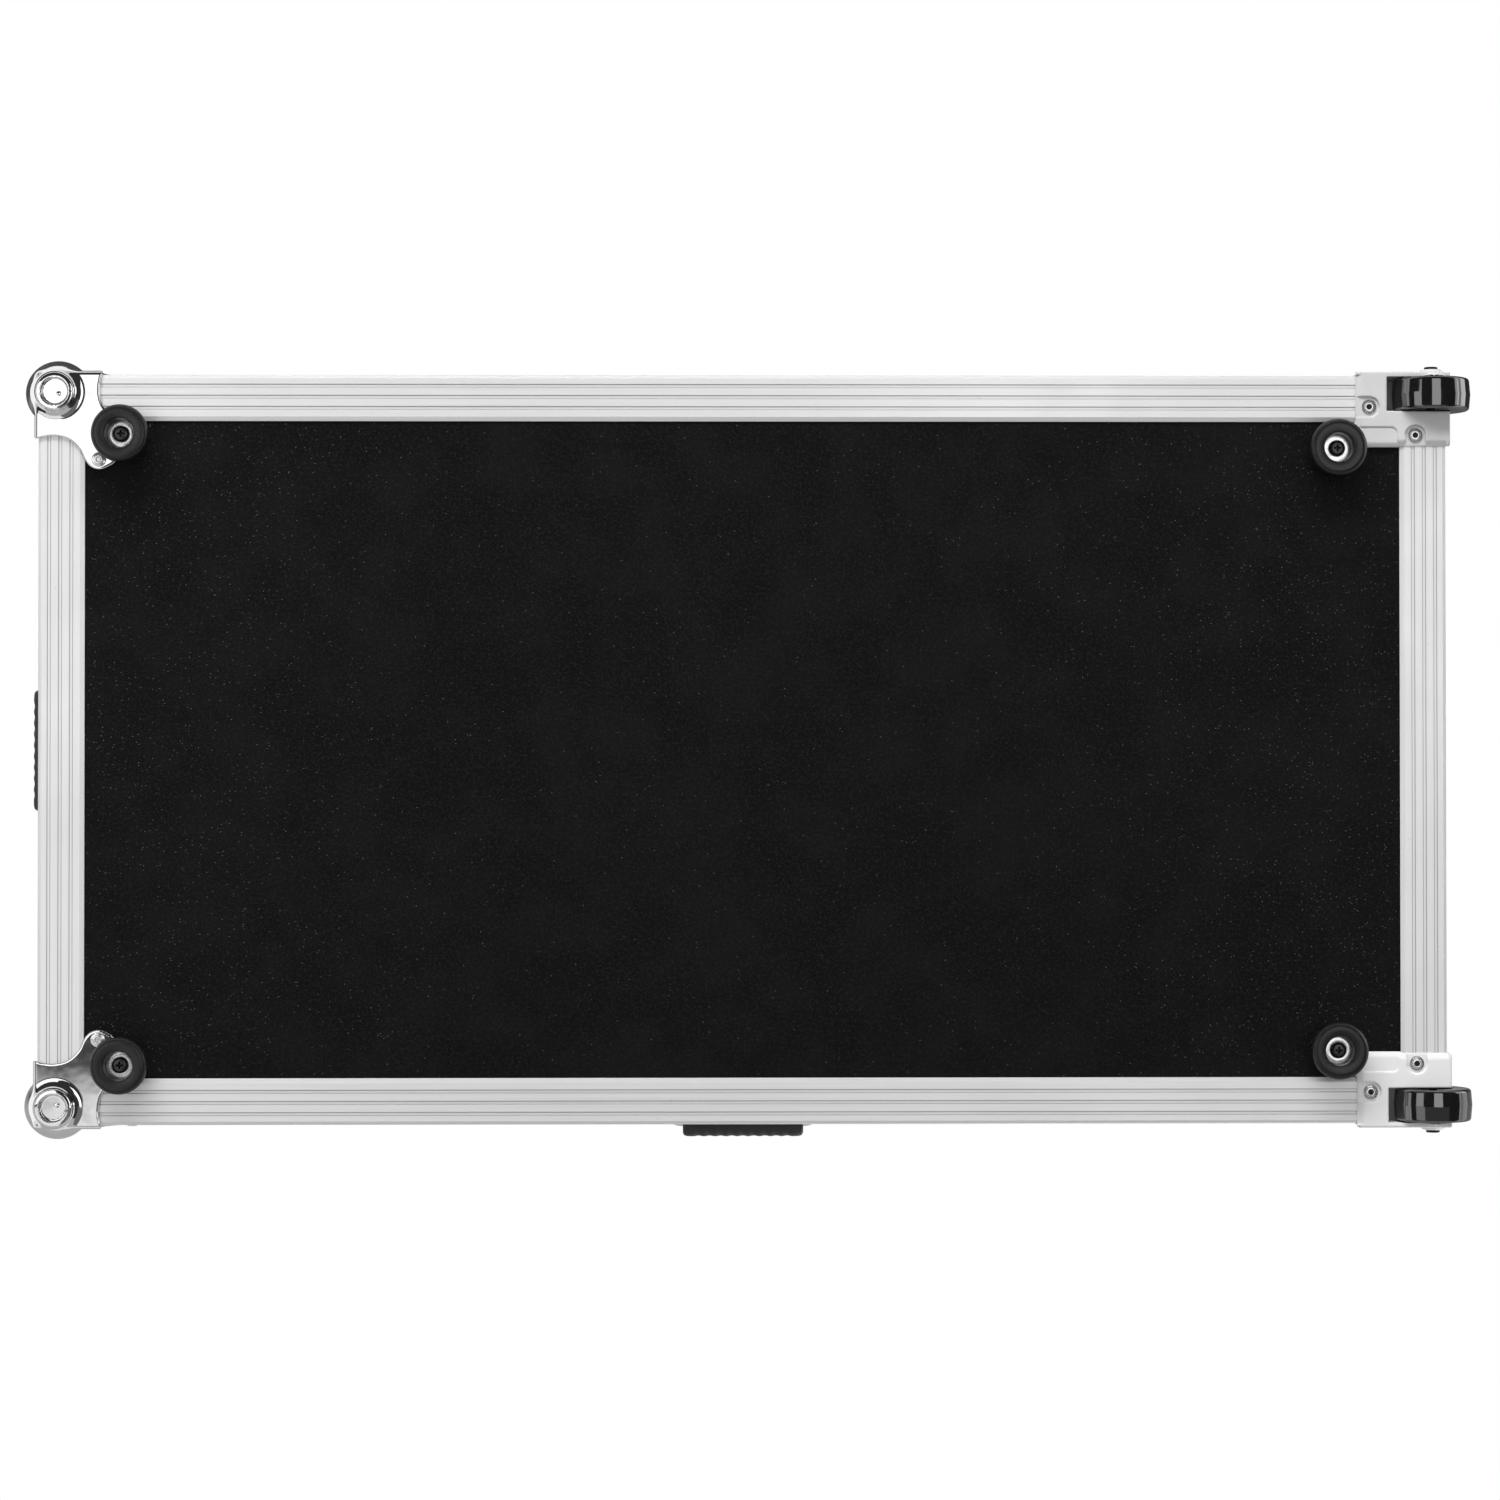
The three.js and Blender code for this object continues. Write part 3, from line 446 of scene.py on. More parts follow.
def edge_crossings(values):
    """The grid places of the cells that the surface crosses, and the mean crossing on each one's edges."""
    shape = tuple(n - 1 for n in values.shape)
    total = np.zeros(shape + (3,), np.float32)
    hits = np.zeros(shape, np.float32)
    for axis in range(3):
        others = [k for k in range(3) if k != axis]
        for shift in ((0, 0), (0, 1), (1, 0), (1, 1)):
            start = [slice(0, n) for n in shape]
            for other, s in zip(others, shift):
                start[other] = slice(s, shape[other] + s)
            end = list(start)
            end[axis] = slice(1, shape[axis] + 1)
            a, b = values[tuple(start)], values[tuple(end)]
            crossed = (a < 0) != (b < 0)
            total[..., axis] += np.where(crossed, a / np.where(crossed, a - b, 1), 0)
            for other, s in zip(others, shift):
                total[..., other] += crossed * s
            hits += crossed
    cells = np.argwhere(hits > 0)
    found = hits[tuple(cells.T)]
    return cells, cells + total[tuple(cells.T)] / found[:, None]


def settled(field, points, step, rounds=3):
    """Points moved down the field's slope on to its surface."""
    reach = step / 4
    for _ in range(rounds):
        value = field(*points.T)
        rises = [field(*(points + d).T) - field(*(points - d).T) for d in np.eye(3) * reach]
        slope = np.stack(rises, 1) / (2 * reach)
        size = np.maximum((slope ** 2).sum(1), 0.25)
        move = slope * (value / size)[:, None]
        length = np.linalg.norm(move, axis=1)
        move *= np.minimum(1, step / 2 / np.maximum(length, 1e-9))[:, None]
        points = points - move
    return points


def surface_of(field, low, high, step):
    """Points and quads of the surface where the field is 0."""
    axes = [l + step * np.arange(int((h - l) / step) + 2) for l, h in zip(low, high)]
    grid = np.meshgrid(*axes, indexing="ij", sparse=True)
    values = np.broadcast_to(field(*grid), tuple(len(a) for a in axes)).astype(np.float32)
    cells, places = edge_crossings(values)
    number = np.full(tuple(n - 1 for n in values.shape), -1)
    number[tuple(cells.T)] = np.arange(len(cells))
    quads = np.concatenate([surface_quads(values, number, axis) for axis in range(3)])
    return settled(field, np.array(low) + places * step, step), quads


def surface_quads(values, number, axis):
    """Quads round the grid's edges along one axis that the surface crosses, facing outwards."""
    u, v = [k for k in (0, 1, 2) if k != axis]
    low_end = [slice(1, n - 1) for n in values.shape]
    low_end[axis] = slice(0, values.shape[axis] - 1)
    high_end = list(low_end)
    high_end[axis] = slice(1, values.shape[axis])
    inside = values[tuple(low_end)] < 0
    change = np.argwhere(inside != (values[tuple(high_end)] < 0))
    start = change + [0 if k == axis else 1 for k in range(3)]
    shift = np.zeros((4, 3), int)
    shift[[0, 3], u] = -1
    shift[[0, 1], v] = -1
    quad = np.stack([number[tuple((start + s).T)] for s in shift], 1)
    outwards = inside[tuple(change.T)] == (axis != 1)
    quad[~outwards] = quad[~outwards][:, ::-1]
    return quad


def from_corner(side_x, side_y, on_lid, points):
    """Points drawn inwards from a corner of the case, in the shared frame."""
    level, up = (TOP_Z, -1) if on_lid else (BOTTOM_Z, 1)
    p = np.array(points, float)
    x = side_x * (HALF_LENGTH - p[:, 0])
    y = side_y * (HALF_DEPTH - p[:, 1])
    return np.stack([x, y, level + up * p[:, 2]], 1)


def add_corner(node, side_x, side_y, on_lid, surface, material):
    """A corner's skin in the place of its CAD piece."""
    points, quads = surface
    mirrored = side_x * side_y * (-1 if on_lid else 1) < 0
    faces = (quads[:, ::-1] if mirrored else quads).tolist()
    world = from_corner(side_x, side_y, on_lid, points)
    piece = mesh_object(f"{node}_skin", world, faces, material, 60)
    fit(piece, "lid" if on_lid else "base", node)


def face_places(side_x, side_y, on_lid, spots, out):
    """Rivet places at one depth on a corner's flat face, its long side and its end, in turn."""
    rules = [
        (lambda p, q: (p, q, out), (0, 0, 1 if on_lid else -1)),
        (lambda p, q: (p, out, q), (0, side_y, 0)),
        (lambda p, q: (out, p, q), (side_x, 0, 0)),
    ]
    places = []
    for (rule, axis), face_spots in zip(rules, spots):
        for p, q in face_spots:
            centre = from_corner(side_x, side_y, on_lid, [rule(p, q)])[0]
            places.append((tuple(centre), axis))
    return places


def add_rivets(name, places, body, size=1.0, kinds=("rivets", "mandrels")):
    """A piece with a rivet at each (centre, axis) place, and one with the dark mandrels in their holes."""
    for kind in kinds:
        shares, sides, material, slot = RIVET_KINDS[kind]
        profile = [(RIVET_RADIUS * size * r, RIVET_HEIGHT * size * h) for r, h in shares]
        points, faces = turned(profile, sides)
        faces = outward(faces, points)
        parts = [(placed(points, centre, axis), faces) for centre, axis in places]
        fit(joined(f"{name}_{kind}", parts, material), body)


# Materials

class Graph:
    """The nodes of a material or a world. A number for a colour is a grey."""

    def __init__(self, owner):
        owner.use_nodes = True
        self.owner = owner
        self.tree = owner.node_tree
        self.tree.nodes.clear()

    def node(self, kind, sockets=(), **settings):
        """A new node's outputs, with its settings made and its sockets linked or filled."""
        made = self.tree.nodes.new(kind)
        for name, value in settings.items():
            setattr(made, name, value)
        for name, value in dict(sockets).items():
            self.fill(made.inputs[name], value)
        return made.outputs

    def fill(self, socket, value):
        if isinstance(value, bpy.types.NodeSocket):
            self.tree.links.new(value, socket)
        elif socket.type == "RGBA":
            socket.default_value = (value, value, value, 1)
        else:
            socket.default_value = value

    def math(self, operation, a, b=0.0):
        return self.node("ShaderNodeMath", {0: a, 1: b}, operation=operation)[0]

    def range(self, *values):
        """A value, taken smoothly from between two numbers to between two others."""
        sockets = dict(enumerate(values))
        return self.node("ShaderNodeMapRange", sockets, interpolation_type="SMOOTHSTEP")["Result"]

    def mix(self, share, a, b):
        return self.node("ShaderNodeMix", {"Factor": share, "A": a, "B": b}, data_type="RGBA")["Result"]

    def blend(self, value, low, high, a, b, most=1):
        """From one colour to as much as a share of another, as the value goes from low to high."""
        return self.mix(self.range(value, low, high, 0, most), a, b)

    def pick(self, gate, closed, opened):
        """One of two values, by a gate of 0 or 1."""
        return self.node("ShaderNodeMix", {"Factor": gate, 2: closed, 3: opened})[0]


class Material(Graph):
    """A material's nodes, placed by the shared frame in metres."""

    def __init__(self, name):
        super().__init__(bpy.data.materials.new(name))
        self.place = self.node("ShaderNodeTexCoord")["Object"]

    def coordinate(self, axis):
        return self.node("ShaderNodeSeparateXYZ", {0: self.place})[axis]

    def millimetres(self, axis):
        return self.math("MULTIPLY", self.coordinate(axis), 1 / MM)

    def scaled(self, scale):
        return self.node("ShaderNodeVectorMath", {0: self.place, 1: scale}, operation="MULTIPLY")[0]

    def noise(self, scale, detail=3.0, roughness=0.5, place=None):
        sockets = {"Scale": scale, "Detail": detail, "Roughness": roughness, "Vector": place or self.place}
        return self.node("ShaderNodeTexNoise", sockets)["Fac"]

    def cells(self, scale, place=None):
        """The outputs of a cell pattern."""
        return self.node("ShaderNodeTexVoronoi", {"Scale": scale, "Vector": place or self.place})

    def bump(self, height, strength, distance):
        sockets = {"Strength": strength, "Distance": distance, "Height": height}
        return self.node("ShaderNodeBump", sockets)["Normal"]

    def ended(self, shader):
        self.node("ShaderNodeOutputMaterial", {"Surface": shader})
        return self.owner

    def shaded(self, **sockets):
        """The material, with its shader's sockets linked or set; an underscore stands for a space."""
        named = {name.replace("_", " "): value for name, value in sockets.items()}
        return self.ended(self.node("ShaderNodeBsdfPrincipled", named)[0])


def inwards(g, axis, half):
    """Distance in mm from the outer faces at plus and minus half along an axis."""
    return g.math("SUBTRACT", half, g.math("ABSOLUTE", g.millimetres(axis)))


def upwards(g, level, up=1):
    """Height in mm over a level, or depth under it where up is -1."""
    return g.math("MULTIPLY", g.math("SUBTRACT", g.millimetres("Z"), level), up)


def laminate():
    """Black phenolic film on plywood: a leathery grain of 1 to 2 mm with sparse pale flecks, partly real and
    partly painted glints that grow more frequent towards the ends.
    """
    g = Material("black_laminate")
    grain = g.noise(620, 4, 0.62)
    cell = g.cells(520, g.scaled((0.8, 1.25, 1.0)))
    lottery = g.node("ShaderNodeTexWhiteNoise", {"Vector": cell["Position"]})["Value"]
    # Painted glints: the flecks grow more frequent towards the ends, in place of the soft boxes' glints on
    # the grain.
    level = g.range(inwards(g, "X", HALF_LENGTH), 10, 320, 0.7, 0.955)
    chosen = g.math("GREATER_THAN", lottery, level)
    fleck_and_glint = g.math("MULTIPLY", chosen, g.range(cell["Distance"], 0.04, 0.22, 1, 0))
    base = g.blend(g.noise(26, 3), 0.35, 0.7, 0.0034, 0.0054)
    pores = g.math("MULTIPLY", g.cells(480)["Distance"], 0.5)
    height = g.math("ADD", g.math("MULTIPLY", grain, 0.8), pores)
    return g.shaded(
        Base_Color=g.mix(fleck_and_glint, g.blend(grain, 0.45, 0.72, base, 0.011), 0.13),
        Roughness=g.range(grain, 0.3, 0.75, 0.46, 0.66),
        Specular_IOR_Level=0.085,
        Normal=g.bump(height, 0.6, 0.0004))


def streaks(g, along):
    """Fine drawing lines along one axis."""
    thin_scale, wide_scale = [
        [scales[0] if k == along else scales[1] for k in range(3)]
        for scales in (STREAK_SCALES, WIDE_STREAK_SCALES)
    ]
    thin = g.noise(1, 2, 0.6, g.scaled(thin_scale))
    wide = g.noise(1, 2, 0.5, g.scaled(wide_scale))
    return g.math("ADD", g.math("MULTIPLY", thin, 0.6), g.math("MULTIPLY", wide, 0.4))


def groove_shade_lines(g, distance):
    """Painted shade: fine dark lines at both edges of each groove, where its walls fall in shade, by the
    distance in mm from the profile's outer edge.
    """
    half = GROOVE_PITCH / 2
    shifted = g.math("MODULO", g.math("ADD", distance, half), GROOVE_PITCH)
    nearest = g.math("ABSOLUTE", g.math("SUBTRACT", shifted, half))
    off = g.math("ABSOLUTE", g.math("SUBTRACT", nearest, GROOVE_WIDTH / 2))
    line = g.range(off, *GROOVE_SOFT, 1, 0)
    started = g.math("GREATER_THAN", distance, half)
    ended = g.math("LESS_THAN", distance, GROOVE_PITCH * LAST_GROOVE)
    return g.math("MULTIPLY", line, g.math("MULTIPLY", started, ended))


def end_side(g):
    """1 on the two end lengths of a mitred frame, 0 on its long ones."""
    return g.math("LESS_THAN", inwards(g, "X", HALF_LENGTH), inwards(g, "Y", HALF_DEPTH))


def aluminium(name, along, edges):
    """Satin anodised profile, drawn along one axis, or along X and Y where it is a mitred frame, with painted
    shade along its grooves.
    """
    g = Material(name)
    lines = streaks(g, 0 if along is None else along)
    if along is None:
        lines = g.pick(end_side(g), lines, streaks(g, 1))
    haze = g.noise(7, 3, 0.6)
    tone = g.blend(lines, 0.3, 0.7, 0.88, 0.96)
    tone = g.blend(haze, 0.35, 0.75, tone, 0.86, 0.5)
    tone = g.blend(g.noise(160, 3, 0.7), 0.68, 0.76, tone, 0.6, 0.35)
    # Painted shade: each groove's edges are darkened where its walls fall in shade.
    for edge in edges(g):
        tone = g.mix(g.math("MULTIPLY", groove_shade_lines(g, edge), 0.6), tone, 0.16)
    rough = g.math("ADD", g.range(haze, 0.3, 0.7, 0.4, 0.5), g.range(lines, 0.3, 0.7, -0.03, 0.05))
    return g.shaded(Base_Color=tone, Roughness=rough, Metallic=0.6, Normal=g.bump(lines, 0.05, 0.0001))


# Each kind of profile, with the axis that it is drawn along and the distances from its outer edges, which
# place the painted groove shade

PROFILES = {
    "long": (0, lambda g: [inwards(g, "Y", HALF_DEPTH), upwards(g, BOTTOM_Z)]),
    "end": (1, lambda g: [inwards(g, "X", HALF_LENGTH), upwards(g, BOTTOM_Z)]),
    "post": (2, lambda g: [inwards(g, "X", HALF_LENGTH), inwards(g, "Y", HALF_DEPTH)]),
    "rim": (None, lambda g: [upwards(g, PARTING_Z - GAP, -1), upwards(g, PARTING_Z + GAP)]),
    "frame": (None, lambda g: [
        g.pick(end_side(g), inwards(g, "Y", HALF_DEPTH), inwards(g, "X", HALF_LENGTH)),
        upwards(g, TOP_Z, -1),
    ]),
}


def chrome():
    """Bright plating on pressed steel, with faint waves and finger marks."""
    g = Material("bright_chrome")
    marks = g.noise(34, 4, 0.65)
    height = g.math("ADD", g.noise(55, 2, 0.5), g.math("MULTIPLY", g.noise(520, 2, 0.5), 0.012))
    return g.shaded(
        Base_Color=g.blend(marks, 0.5, 0.75, 0.9, 0.83),
        Roughness=g.range(marks, 0.45, 0.75, 0.045, 0.13),
        Metallic=1,
        Normal=g.bump(height, 0.1, 0.0006))


def casting():
    """Grey lacquered zinc, with a slight orange peel. The front housing is painted lighter and the back one
    darker, as painted light that differs between them.
    """
    g = Material("grey_casting")
    cloud = g.noise(45, 3, 0.6)
    # Painted light: the front housing's tone is raised and the back one's lowered, in place of the different
    # light on them.
    front = g.range(g.millimetres("Y"), -HALF_DEPTH / 2, HALF_DEPTH / 2, 1, 0)
    painted_light_tone = g.mix(front, 0.5, 0.76)
    tone = g.blend(cloud, 0.35, 0.7, painted_light_tone, 0.8, 0.12)
    return g.shaded(
        Base_Color=g.blend(g.noise(260, 4, 0.7), 0.66, 0.74, tone, 0.3, 0.4),
        Roughness=g.range(cloud, 0.3, 0.7, 0.4, 0.5),
        Metallic=0.1,
        Specular_IOR_Level=0.4,
        Normal=g.bump(g.noise(700, 2, 0.5), 0.1, 0.0002))


def rubber(name, tone, rough):
    """Moulded rubber with a fine matt grain and a little dust."""
    g = Material(name)
    grain = g.noise(1500, 3, 0.6)
    return g.shaded(
        Base_Color=g.blend(g.noise(420, 4, 0.75), 0.62, 0.72, tone, tone * 3, 0.55),
        Roughness=g.range(grain, 0.3, 0.7, rough - 0.06, rough + 0.08),
        Specular_IOR_Level=0.45,
        Normal=g.bump(grain, 0.18, 0.0002))


def wheel_gloss():
    """Hard black polyurethane, polished, with hair scratches round the tread."""
    g = Material("gloss_wheel")
    hair = g.noise(1, 3, 0.7, g.scaled((260, 4200, 260)))
    cloud = g.noise(90, 3, 0.6)
    return g.shaded(
        Base_Color=g.blend(cloud, 0.4, 0.7, 0.0035, 0.006),
        Roughness=g.math("ADD", g.range(hair, 0.45, 0.8, 0.05, 0.16), g.range(cloud, 0.5, 0.8, 0, 0.06)),
        IOR=2.35,
        Specular_IOR_Level=0.5,
        Normal=g.bump(hair, 0.02, 0.0001))


def steel(name, tone, rough, metallic):
    """Turned or drawn metal of a small fastener."""
    g = Material(name)
    lines = g.noise(1800, 3, 0.65)
    return g.shaded(
        Base_Color=g.blend(g.noise(300, 3, 0.6), 0.4, 0.75, tone, tone * 0.7),
        Roughness=g.range(lines, 0.3, 0.7, rough - 0.06, rough + 0.1),
        Metallic=metallic,
        Normal=g.bump(lines, 0.08, 0.0001))


def foam():
    """Open-cell charcoal foam."""
    g = Material("charcoal_foam")
    cells = g.cells(820)["Distance"]
    small = g.noise(1500, 4, 0.7)
    tone = g.blend(cells, 0.1, 0.6, 0.012, 0.042)
    return g.shaded(
        Base_Color=g.blend(g.noise(18, 3), 0.35, 0.7, tone, 0.06, 0.3),
        Roughness=g.range(small, 0.3, 0.7, 0.88, 1),
        Specular_IOR_Level=0.12,
        Sheen_Weight=0.25,
        Sheen_Roughness=0.6,
        Normal=g.bump(g.math("ADD", cells, g.math("MULTIPLY", small, 0.5)), 0.7, 0.0009))


MATERIALS = {
    "laminate": laminate(),
    **{kind: aluminium(f"edge_aluminium_{kind}", *rule) for kind, rule in PROFILES.items()},
    "chrome": chrome(),
    "casting": casting(),
    "rubber": rubber("black_rubber", 0.009, 0.3),
    "grip": rubber("grip_rubber", 0.012, 0.55),
    "wheel": wheel_gloss(),
    "black_steel": steel("black_steel", 0.03, 0.27, 0.7),
    "washer": steel("washer_steel", 0.85, 0.16, 0.85),
    "rivet": steel("rivet_steel", 0.88, 0.19, 0.9),
    "screw": steel("screw_steel", 0.075, 0.3, 0.85),
    "foam": foam(),
}


# CAD pieces that stay, with eased edges

def ease_edges(piece, width, segments, angle):
    """The piece's corners welded, its flat faces made whole, and its edges rounded."""
    weld = piece.modifiers.new("weld", "WELD")
    weld.merge_threshold = WELD_REACH * MM
    flat = piece.modifiers.new("flat", "DECIMATE")
    flat.decimate_type = "DISSOLVE"
    flat.angle_limit = math.radians(FLAT_ANGLE)
    bevel = piece.modifiers.new("ease", "BEVEL")
    bevel.width = width * MM
    bevel.segments = segments
    bevel.limit_method = "ANGLE"
    bevel.angle_limit = math.radians(angle)
    shade = piece.modifiers.new("shade", "WEIGHTED_NORMAL")
    shade.keep_sharp = True


def dress(nodes, material, ease, segments=2):
    for node in nodes:
        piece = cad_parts[node]
        piece.data.materials.clear()
        piece.data.materials.append(MATERIALS[material])
        ease_edges(piece, ease, segments, EASE_ANGLE)


def dress_cad():
    walls = [f"{half}_wall_{side}" for half in ("base", "lid") for side in (*FACES, *SIDES)]
    leaves = [f"hinge_{end}_{half}_leaf" for end in SIDES for half in ("base", "lid")]
    latches = ("dish", "keeper", "spindle", "wing", "hook")
    dress(["bottom_panel", "lid_top_panel", "partition_left", "partition_right"], "laminate", PANEL_EASE)
    dress(walls, "laminate", PANEL_EASE)
    dress([f"base_edge_{face}" for face in FACES], "long", PROFILE_EASE)
    dress([f"base_edge_{end}" for end in SIDES], "end", PROFILE_EASE)
    dress([f"base_post_{face}_{end}" for face in FACES for end in SIDES], "post", PROFILE_EASE)
    dress(["base_rim", "lid_rim"], "rim", PROFILE_EASE)
    dress(["lid_edge_frame"], "frame", PROFILE_EASE)
    dress(leaves, "chrome", STEEL_EASE)
    dress([f"latch_{end}_{part}" for end in SIDES for part in latches], "chrome", LATCH_EASE, 3)
    dress([f"handle_{place}_dish" for place in HANDLE_RULES], "chrome", DISH_EASE, 3)
    dress([f"axle_bolt_{face}" for face in FACES], "black_steel", STEEL_EASE)


# Ball corners

def smooth_outline(points, steps=5):
    """A curve through all the points."""
    result = []
    for i in range(len(points) - 1):
        near = [min(max(i + k, 0), len(points) - 1) for k in (-1, 0, 1, 2)]
        p0, p1, p2, p3 = (np.array(points[k], float) for k in near)
        for k in range(steps):
            t = k / steps
            result.append(tuple(0.5 * (
                2 * p1 + (p2 - p0) * t + (2 * p0 - 5 * p1 + 4 * p2 - p3) * t ** 2
                + (3 * p1 - p0 - 3 * p2 + p3) * t ** 3)))
    return result + [tuple(points[-1])]


def plate_outline():
    """The plate that the lobes and the neck share, well past the ball on its outer sides."""
    edge = [(far * LOBE_REACH, near * LOBE_REACH) for far, near in PLATE_SHARES]
    half = [(edge[0][0], -2 * BALL_RADIUS)] + smooth_outline(edge)
    mirrored = [(y, x) for x, y in reversed(half)]
    return [(-2 * BALL_RADIUS, -2 * BALL_RADIUS)] + half + mirrored


def ball_field(a, b, c):
    """The ball with a ring on its lower side, a dish in the ring and a nub in the dish."""
    radius = np.hypot(a - BALL_INSET, b - BALL_INSET)
    ball = np.sqrt(radius ** 2 + (c - BALL_INSET) ** 2) - BALL_RADIUS
    dish = both(radius - DISH_RADIUS, c - RING_FACE - DISH_DEPTH, DISH_ROUND)
    ball = both(ball, -dish, DISH_LIP)
    middle = (RING_OUTER + DISH_RADIUS) / 2
    ring = both(np.abs(radius - middle) - (RING_OUTER - DISH_RADIUS) / 2, RING_FACE - c, RING_ROUND)
    ring = np.maximum(ring, c)
    aside = np.hypot(a - BALL_INSET - NUB_SHIFT[0], b - BALL_INSET - NUB_SHIFT[1])
    nub = np.hypot(aside, c - RING_FACE - DISH_DEPTH - NUB_SINK) - NUB_RADIUS
    return either(either(ball, ring, RING_FILLET), nub, NUB_FILLET)


def corner_field(outline):
    """The whole ball corner, without its rivets."""
    def field(a, b, c):
        outer = both(both(-PROUD - a, -PROUD - b, CORNER_ROUND), -PROUD - c, CORNER_ROUND)
        outside = np.minimum(np.minimum(a, b), c) + GAP
        plates, pads = np.inf, np.inf
        for p, q, out in ((a, b, c), (a, c, b), (b, c, a)):
            flat = outline_distance(outline, p, q)
            slab = both(flat, -PROUD - out, CORNER_EDGE)
            plates = np.minimum(plates, np.maximum(slab, out + GAP))
            pads = np.minimum(pads, panel_pad(slab, p, q, out))
        plates = np.maximum(plates, outer)
        body = either(plates, ball_field(a, b, c), BALL_FILLET)
        return np.minimum(np.maximum(body, outside), pads)
    return field


def panel_pad(slab, p, q, out):
    """The part of a slab past the profiles, which reaches in to the panel."""
    beyond = PROFILE_LEG + GAP - np.minimum(p, q)
    return np.maximum(np.maximum(slab, out - PANEL_FACE + GAP), beyond)


def add_ball_corners():
    lobes = [(LOBE_FAR, LOBE_NEAR), (LOBE_NEAR, LOBE_FAR)]
    low, high = [-BALL_RADIUS + BALL_INSET - FIELD_MARGIN] * 3, [LOBE_REACH + FIELD_MARGIN] * 3
    surface = surface_of(corner_field(plate_outline()), low, high, CORNER_STEP)
    for face, side_y in FACES.items():
        corners = [(f"ball_corner_base_{face}_right", 1, False)]
        corners += [(f"ball_corner_lid_{face}_{end}", side_x, True) for end, side_x in SIDES.items()]
        for node, side_x, on_lid in corners:
            add_corner(node, side_x, side_y, on_lid, surface, "chrome")
            spots = [lobes if on_lid else lobes[1:], lobes, lobes]
            places = face_places(side_x, side_y, on_lid, spots, -PROUD)
            add_rivets(node, places, "lid" if on_lid else "base", CAP_RADIUS / RIVET_RADIUS, ["rivets"])


# Wheel corners

def slope_field(edge, out):
    """A chamfer that falls from the plate's face to the profile over its width."""
    return (edge * PROUD - out * CHAMFER) / math.hypot(PROUD, CHAMFER)


def tab_field(along, across, out):
    """A round-ended recess for a rivet, open along its first axis."""
    flat = np.hypot(np.minimum(along, 0), across) - TAB_HALF
    return np.maximum(flat, out + TAB_FLOOR)


def plate_field(p, q, out, length, width, tabs):
    """One face of the housing, with its chamfer, its stepped corner and its two rivet tabs."""
    edge = both(p - length, q - width, HOUSING_ROUND)
    slab = both(slope_field(edge - HOUSING_LIP, out), -PROUD - out, PLATE_ROUND)
    slab = both(slab, edge, LIP_ROUND)
    recess = both(STEP_START[0] - p, STEP_START[1] - q, STEP_ROUND)
    slab = both(slab, -np.maximum(recess, out + STEP_FLOOR), PLATE_ROUND)
    first, second = tabs
    slab = both(slab, -tab_field(p - first[0], q - first[1], out), PLATE_ROUND)
    slab = both(slab, -tab_field(q - second[1], p - second[0], out), PLATE_ROUND)
    return np.minimum(np.maximum(slab, out + GAP), panel_pad(slab, p, q, out))


HOUSING_TABS = {
    "under": (TAB_LONG, TAB_SHORT),
    "side": (TAB_LONG, TAB_LONG[::-1]),
    "end": (TAB_SHORT[::-1], TAB_LONG[::-1]),
}


def housing_field(a, b, c):
    """The housing: three plates and a hollow block, a boss for the axle, and the wheel's slot."""
    outer = both(both(-PROUD - a, -PROUD - b, HOUSING_EDGE), -PROUD - c, HOUSING_EDGE)
    long, wide = HOUSING_LENGTH, HOUSING_WIDTH
    plates = plate_field(a, b, c, long, wide, HOUSING_TABS["under"])
    plates = np.minimum(plates, plate_field(a, c, b, long, long, HOUSING_TABS["side"]))
    plates = np.minimum(plates, plate_field(b, c, a, wide, long, HOUSING_TABS["end"]))
    shell = np.maximum(np.maximum(a - POCKET, b - SLOT_NEAR - SLOT_WIDTH - SLOT_WALL), c - POCKET)
    body = np.maximum(np.minimum(plates, shell), outer)
    radius = np.hypot(a - WHEEL_INSET, c - WHEEL_INSET)
    rise = -PROUD - b
    cone = (radius - BOSS_BASE + rise * (BOSS_BASE - BOSS_TOP) / BOSS_HEIGHT) * BOSS_SHARE
    boss = both(cone, rise - BOSS_HEIGHT, BOSS_ROUND)
    body = either(body, np.maximum(boss, b), BOSS_FILLET)
    slot = np.maximum(np.abs(b - SLOT_NEAR - SLOT_WIDTH / 2) - SLOT_WIDTH / 2, radius - ARCH_RADIUS)
    body = both(body, -slot, SLOT_ROUND)
    return np.maximum(body, AXLE_RADIUS + GAP - radius)


def add_wheel_corners():
    low = [-PROUD - BOSS_HEIGHT - FIELD_MARGIN] * 3
    high = [size + FIELD_MARGIN for size in (HOUSING_LENGTH, HOUSING_WIDTH, HOUSING_LENGTH)]
    surface = surface_of(housing_field, low, high, HOUSING_STEP)
    for face, side_y in FACES.items():
        node = f"wheel_housing_{face}"
        add_corner(node, -1, side_y, False, surface, "casting")
        places = face_places(-1, side_y, False, HOUSING_TABS.values(), -TAB_FLOOR)
        add_rivets(node, places, "base")


def quarter(steps):
    """Sines and cosines of a quarter turn's steps."""
    turns = [math.pi / 2 * k / steps for k in range(steps + 1)]
    return [(math.sin(turn), math.cos(turn)) for turn in turns]


